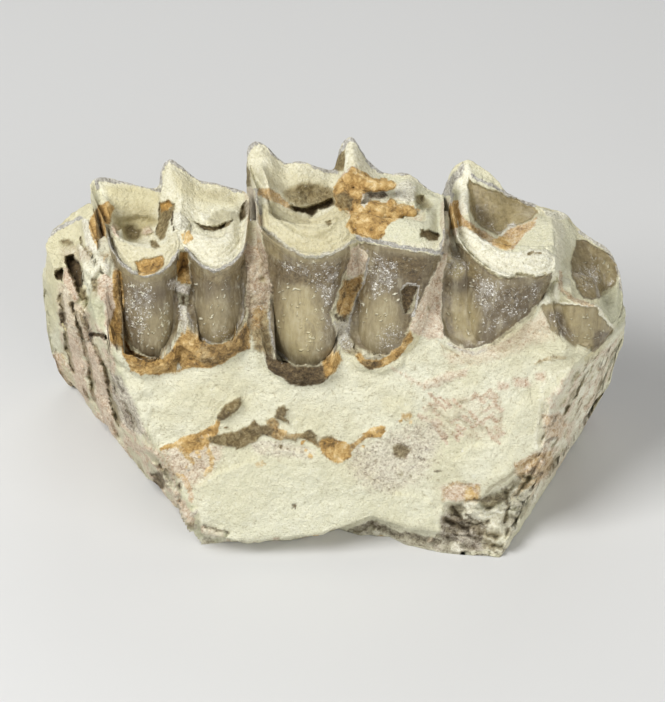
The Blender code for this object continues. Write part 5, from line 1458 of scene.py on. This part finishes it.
area(((548, 276), (556, 268), (564, 262), (566, 280), (562, 298), (552, 304), (546, 296)), soft=1.8,
     lift=0.15, green=0.5, chalk=0.35, enamel=0.0)
stroke(((554, 217), (560, 230), (560, 246), (557, 262), (556, 284), (556, 298)), half=3.0, lift=0.5,
       chalk=0.6, green=0.2)
stroke(((560, 272), (561, 289), (572, 299), (592, 305)), half=1.3, lift=-0.25, pink=0.6, ochre=0.4, dark=0.15)
area(((576, 240), (586, 241), (600, 249), (612, 256), (618, 269), (616, 285), (606, 294), (594, 300),
      (584, 299), (577, 289), (572, 275), (571, 260)), soft=1.4, lift=-0.25, enamel=1.0, olive=0.45,
     tan=0.25, chalk=0.0, green=0.0)
area(((576, 262), (596, 264), (606, 280), (590, 292), (578, 286)), soft=5, fleck=0.8, lilac=0.3)
area(((600, 252), (614, 264), (614, 284), (604, 280)), soft=4, tan=0.7)
stroke(((580, 232), (594, 241), (608, 251), (616, 262), (620, 276), (622, 290)), half=1.3, lift=0.05,
       band=0.7, chalk=0.4)
area(((602, 292), (614, 286), (622, 290), (626, 300), (625, 316), (618, 328), (606, 320), (598, 308)),
     soft=1.6, lift=0.1, green=0.75, chalk=0.3, enamel=0.0)
stroke(((598, 308), (606, 321), (614, 331)), half=1.2, lift=0.12, chalk=1.0)
area(((450, 236), (460, 246), (472, 258), (486, 270), (500, 279), (520, 277), (540, 279), (553, 272),
      (549, 286), (541, 301), (524, 317), (507, 331), (491, 343), (471, 349), (453, 344), (444, 335),
      (442, 314), (442, 286), (446, 264)), soft=1.3, enamel=1.0, chalk=0.0, green=0.0)
area(((448, 250), (462, 256), (470, 268), (458, 280), (446, 276)), soft=4, fleck=0.9, lilac=0.3, tan=0.95)
area(((466, 256), (478, 266), (478, 280), (468, 276)), soft=3, tan=0.5, olive=0.5)
area(((450, 292), (468, 296), (480, 318), (474, 340), (456, 340), (446, 320)), soft=10, tan=0.85, olive=0.3)
area(((474, 272), (520, 282), (548, 282), (536, 302), (510, 324), (486, 338), (478, 320), (470, 296)),
     soft=6, lilac=0.7, fleck=0.7)
area(((500, 286), (544, 282), (530, 304), (506, 322), (494, 310)), soft=6, dark=0.45)
area(((478, 278), (496, 282), (498, 300), (484, 306), (474, 294)), soft=5, fleck=0.95, lilac=0.7)
area(((540, 305), (556, 303), (576, 304), (597, 307), (601, 316), (614, 331), (606, 341), (594, 353),
      (586, 347), (572, 343), (560, 337), (550, 330), (546, 318)), soft=1.4, enamel=1.0, tan=0.75,
     olive=0.3, chalk=0.0, green=0.0)
area(((546, 310), (560, 312), (572, 330), (576, 342), (560, 336), (550, 326)), soft=4, lilac=0.8, fleck=0.7,
     tan=0.0)
area(((594, 330), (610, 332), (604, 344), (592, 352)), soft=2.5, lilac=0.6, dark=0.3, tan=0.0)
stroke(((533, 305), (544, 302), (560, 303), (580, 305), (596, 307)), half=1.0, lift=0.15, chalk=0.9)


# The iron crust over the second molar: lumps of iron-stained mineral grown into one another and
# onto the crown. Ellipsoids placed on the drawing, fused on a fine lattice; a dull ochre finish.
# A lump is (a, b, size) in drawing units.
CRUST_FRONT = 233.0
CRUST_LEAN = 9.8
CRUST_LATTICE = 0.09
CRUST_LUMPS = ((343, 190, 9), (350, 178, 9), (353, 172, 6), (360, 181, 8), (368, 184, 7), (376, 185, 6.5),
               (384, 186, 6), (391, 185, 5), (345, 200, 9), (340, 194, 7), (352, 206, 9), (357, 196, 8),
               (362, 213, 9), (372, 209, 8), (381, 211, 8), (390, 213, 7), (399, 212, 6.5), (408, 211, 6),
               (413, 213, 4.5), (391, 204, 5), (396, 218, 5), (355, 219, 8), (366, 222, 9), (377, 222, 8),
               (384, 226, 6), (360, 230, 7), (371, 231, 8), (380, 233, 5), (352, 228, 6),)


def crust_lump(a, b, size):
    """The centre and the radii of a lump drawn at (a, b).

    The crust leans back by 1 mm for each CRUST_LEAN units up the drawing. A lump's height is where
    the line of sight through (a, b) meets its y, so it shows where it is drawn.
    """
    y = (CRUST_FRONT - b) / CRUST_LEAN + 0.2
    across = (a - DRAWING_MIDDLE[0]) * UNIT / VIEW_FAR
    up = (DRAWING_MIDDLE[1] - b) * UNIT / VIEW_FAR
    sight = UPWARD * up - TOWARD + np.array([across, 0.0, 0.0])
    centre = EYE + sight * ((y - EYE[1]) / sight[1])
    radius = size * UNIT
    return centre, (radius, radius * 1.1, radius * 0.85)


def grown_together(lumps, cell):
    """Ellipsoids fused on a fine lattice: points and triangles of their common skin.

    Each is a unit ball from sines and cosines of two angles, times its radii, at its centre.
    """
    up = np.linspace(0.0, np.pi, 26)[:, None]
    round_it = np.linspace(0.0, 2.0 * np.pi, 48, endpoint=False)[None]
    x, y, z = np.sin(up) * np.cos(round_it), np.sin(up) * np.sin(round_it), np.cos(up) + 0 * round_it
    unit, faces, _ = skin_of(np.stack([x, y, z], -1), 0.0)
    p = np.concatenate([np.array(centre) + unit * np.array(radii) for centre, radii in lumps])
    f = np.concatenate([faces + k * len(unit) for k in range(len(lumps))])
    balls = bpy.data.meshes.new("balls")
    balls.from_pydata((p * MM).tolist(), [], f.tolist())
    obj = bpy.data.objects.new("balls", balls)
    bpy.context.scene.collection.objects.link(obj)
    fuse = obj.modifiers.new("fuse", "REMESH")
    fuse.mode = "VOXEL"
    fuse.voxel_size = cell * MM
    soften = obj.modifiers.new("soften", "SMOOTH")
    soften.factor = 0.5
    soften.iterations = 16
    made = bpy.data.meshes.new_from_object(obj.evaluated_get(bpy.context.evaluated_depsgraph_get()))
    made.calc_loop_triangles()
    p = np.empty(len(made.vertices) * 3)
    made.vertices.foreach_get("co", p)
    t = np.empty(len(made.loop_triangles) * 3, np.int32)
    made.loop_triangles.foreach_get("vertices", t)
    bpy.data.objects.remove(obj)
    bpy.data.meshes.remove(made)
    return p.reshape(-1, 3) * METRE, t.reshape(-1, 3)


def crust_sides(p, _):
    """Sides out of view: gritty ochre, with olive where an S over a noise is high."""
    return {"ochre": 0.95, "olive": 0.5 * ease(rough(p * 0.6, 91), 0.2, 0.7), "grit": 0.35}


iron = fossil_finish("iron_crust", linear(206, 150, 74), linear(176, 122, 52), 0.5)
points, triangles = grown_together([crust_lump(*lump) for lump in CRUST_LUMPS], CRUST_LATTICE)
lump = piece_of("crust_lump", points, triangles, np.ones(len(points)), iron, crust_sides)
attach(lump, "root")
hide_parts("iron_crust")

# Marks of the iron crust, with painted shade on its shadowed side and a painted shadow under its finger.
area(((333, 186), (340, 178), (354, 167), (362, 171), (372, 177), (394, 181), (398, 185), (394, 190),
      (384, 191), (362, 194), (364, 199), (378, 201), (386, 203), (391, 197), (398, 205), (414, 205),
      (418, 209), (414, 218), (400, 218), (392, 222), (386, 228), (385, 236), (378, 240), (370, 237),
      (364, 238), (352, 233), (345, 227), (350, 217), (350, 211), (340, 211), (334, 203), (335, 195)),
     ochre=0.95, grit=0.3, chalk=0.0, green=0.0, band=0.0, lilac=0.0, fleck=0.0, olive=0.0, dark=0.0)
# painted shade on the crust's shadowed left side
area(((334, 194), (346, 190), (354, 198), (352, 210), (342, 211), (335, 204)), soft=3, olive=0.95, dark=0.4,
     ochre=0.3)
area(((338, 178), (350, 172), (362, 178), (358, 190), (344, 192)), soft=4, olive=0.3)
area(((350, 222), (366, 228), (384, 230), (382, 239), (366, 238), (350, 232)), soft=3, olive=0.65, dark=0.2)
area(((352, 212), (362, 204), (376, 208), (378, 222), (362, 226), (352, 222)), soft=3, ochre=1.0, chalk=0.2)
area(((362, 196), (368, 195), (369, 203), (364, 208), (361, 203)), soft=1.3, chalk=0.9, ochre=0.0)
# painted shadow under the crust's finger
area(((367, 192), (384, 191), (388, 196), (380, 199), (368, 198)), soft=1.4, dark=0.7, lilac=0.3, ochre=0.0)


# Wear and scratches that all crowns share: the enamel is milky just below the worn edge, most of all
# on the first two molars, and scratched white; painted shade darkens both sides of each column, where
# it turns away. Each worn edge is (line, milkiness), each scratched patch (outline, count, seed). Then
# every piece gets its marks.
WORN_EDGES = (
    (((110, 242), (114, 256), (122, 268), (133, 277), (145, 282), (160, 279), (173, 268)), 0.5),
    (((190, 256), (200, 268), (211, 275), (222, 275), (234, 268), (244, 256)), 0.35),
    (((264, 234), (276, 244), (288, 254), (302, 261), (317, 263), (333, 259), (346, 252)), 0.5),
    (((362, 247), (380, 250), (404, 254), (424, 258), (438, 260)), 0.3),
    (((456, 250), (468, 263), (482, 275), (497, 283), (510, 285), (524, 282), (546, 280)), 0.25),
)
SHADED_COLUMN_SIDES = (
    ((112, 256), (121, 284), (122, 318), (129, 340)), ((174, 284), (179, 302), (180, 320), (175, 340)),
    ((190, 268), (189, 300), (191, 322)), ((245, 264), (246, 300), (243, 324)),
    ((267, 256), (272, 286), (272, 334)), ((346, 264), (340, 290), (330, 314)),
    ((366, 264), (361, 292), (351, 320)), ((432, 264), (420, 292), (408, 320), (400, 340)),
    ((450, 264), (448, 290), (450, 332)), ((549, 286), (526, 316), (494, 341)),
)
SCRATCHED = (
    (((124, 284), (150, 284), (170, 300), (172, 336), (150, 352), (130, 338)), 90, 51),
    (((192, 276), (240, 270), (242, 320), (214, 340), (192, 318)), 30, 52),
    (((272, 258), (344, 260), (334, 300), (330, 350), (290, 362), (274, 330)), 80, 53),
    (((368, 254), (436, 258), (412, 320), (392, 350), (352, 336), (360, 290)), 80, 54),
    (((446, 244), (500, 280), (548, 284), (520, 322), (480, 344), (446, 330)), 110, 55),
    (((576, 246), (612, 260), (612, 290), (582, 296)), 20, 56),
    (((548, 308), (596, 310), (608, 334), (590, 346), (552, 328)), 24, 57),
)
for edge, milk in WORN_EDGES:
    below = np.array(edge, float)
    stroke(below + (0, 2), half=3.6, tan=0.45 * milk)
    stroke(below - (0, 1), half=2.0, tan=0.85 * milk, enamel=1.0 - 0.2 * milk)
    stroke(below - (0, 2), half=1.3, tan=0.9 * milk, chalk=0.8 * milk, enamel=1.0 - 0.5 * milk)
# painted shade along both sides of each rounded column
for side in SHADED_COLUMN_SIDES:
    stroke(side, half=2.6, dark=0.42, olive=0.3)
for outline, count, seed in SCRATCHED:
    scratches(outline, count, seed, length=3.2, half=0.4, chalk=1.0, enamel=0.3, fleck=0.6)
for piece in PIECES:
    lay_marks(*piece)


# The table and the light: a plain pale table top under the fossil, a soft window from the upper left,
# a weak fill from the right and a weaker lamp behind, in a dim white room. Places are in metres.
def area_light(name, place, aim, size, power):
    """A square white lamp of the given size and power, turned from its place to its aim."""
    lamp = bpy.data.lights.new(name, "AREA")
    lamp.size = size
    lamp.energy = power
    obj = bpy.data.objects.new(name, lamp)
    obj.location = Vector(place)
    obj.rotation_euler = (Vector(aim) - Vector(place)).to_track_quat("-Z", "Y").to_euler()
    bpy.context.scene.collection.objects.link(obj)


HALF_TABLE = 2
TABLE_CORNERS = [(x * HALF_TABLE, y * HALF_TABLE, 0) for x, y in ((-1, -1), (1, -1), (1, 1), (-1, 1))]
TABLE_GREY = (0.62, 0.62, 0.61, 1.0)
TABLE_ROUGHNESS = 0.9
ROOM_WHITE = (1.0, 1.0, 1.0, 1.0)
ROOM_STRENGTH = 0.2

floor_mesh = bpy.data.meshes.new("table")
floor_mesh.from_pydata(TABLE_CORNERS, [], [(0, 1, 2, 3)])
floor = bpy.data.objects.new("table", floor_mesh)
bpy.context.scene.collection.objects.link(floor)
floor_finish = bpy.data.materials.new("table")
floor_finish.use_nodes = True
floor_shader = floor_finish.node_tree.nodes["Principled BSDF"]
floor_shader.inputs["Base Color"].default_value = TABLE_GREY
floor_shader.inputs["Roughness"].default_value = TABLE_ROUGHNESS
floor_mesh.materials.append(floor_finish)
area_light("window", place=(-0.16, -0.10, 0.26), aim=(0, 0, 0.015), size=0.15, power=0.98)
area_light("fill", place=(0.22, -0.25, 0.16), aim=(0, 0, 0.015), size=0.3, power=0.68)
area_light("back", place=(0.05, 0.3, 0.25), aim=(0, 0, 0.02), size=0.25, power=0.3)
world = bpy.data.worlds.new("room")
world.use_nodes = True
air = world.node_tree.nodes["Background"]
air.inputs["Color"].default_value = ROOM_WHITE
air.inputs["Strength"].default_value = ROOM_STRENGTH
bpy.context.scene.world = world
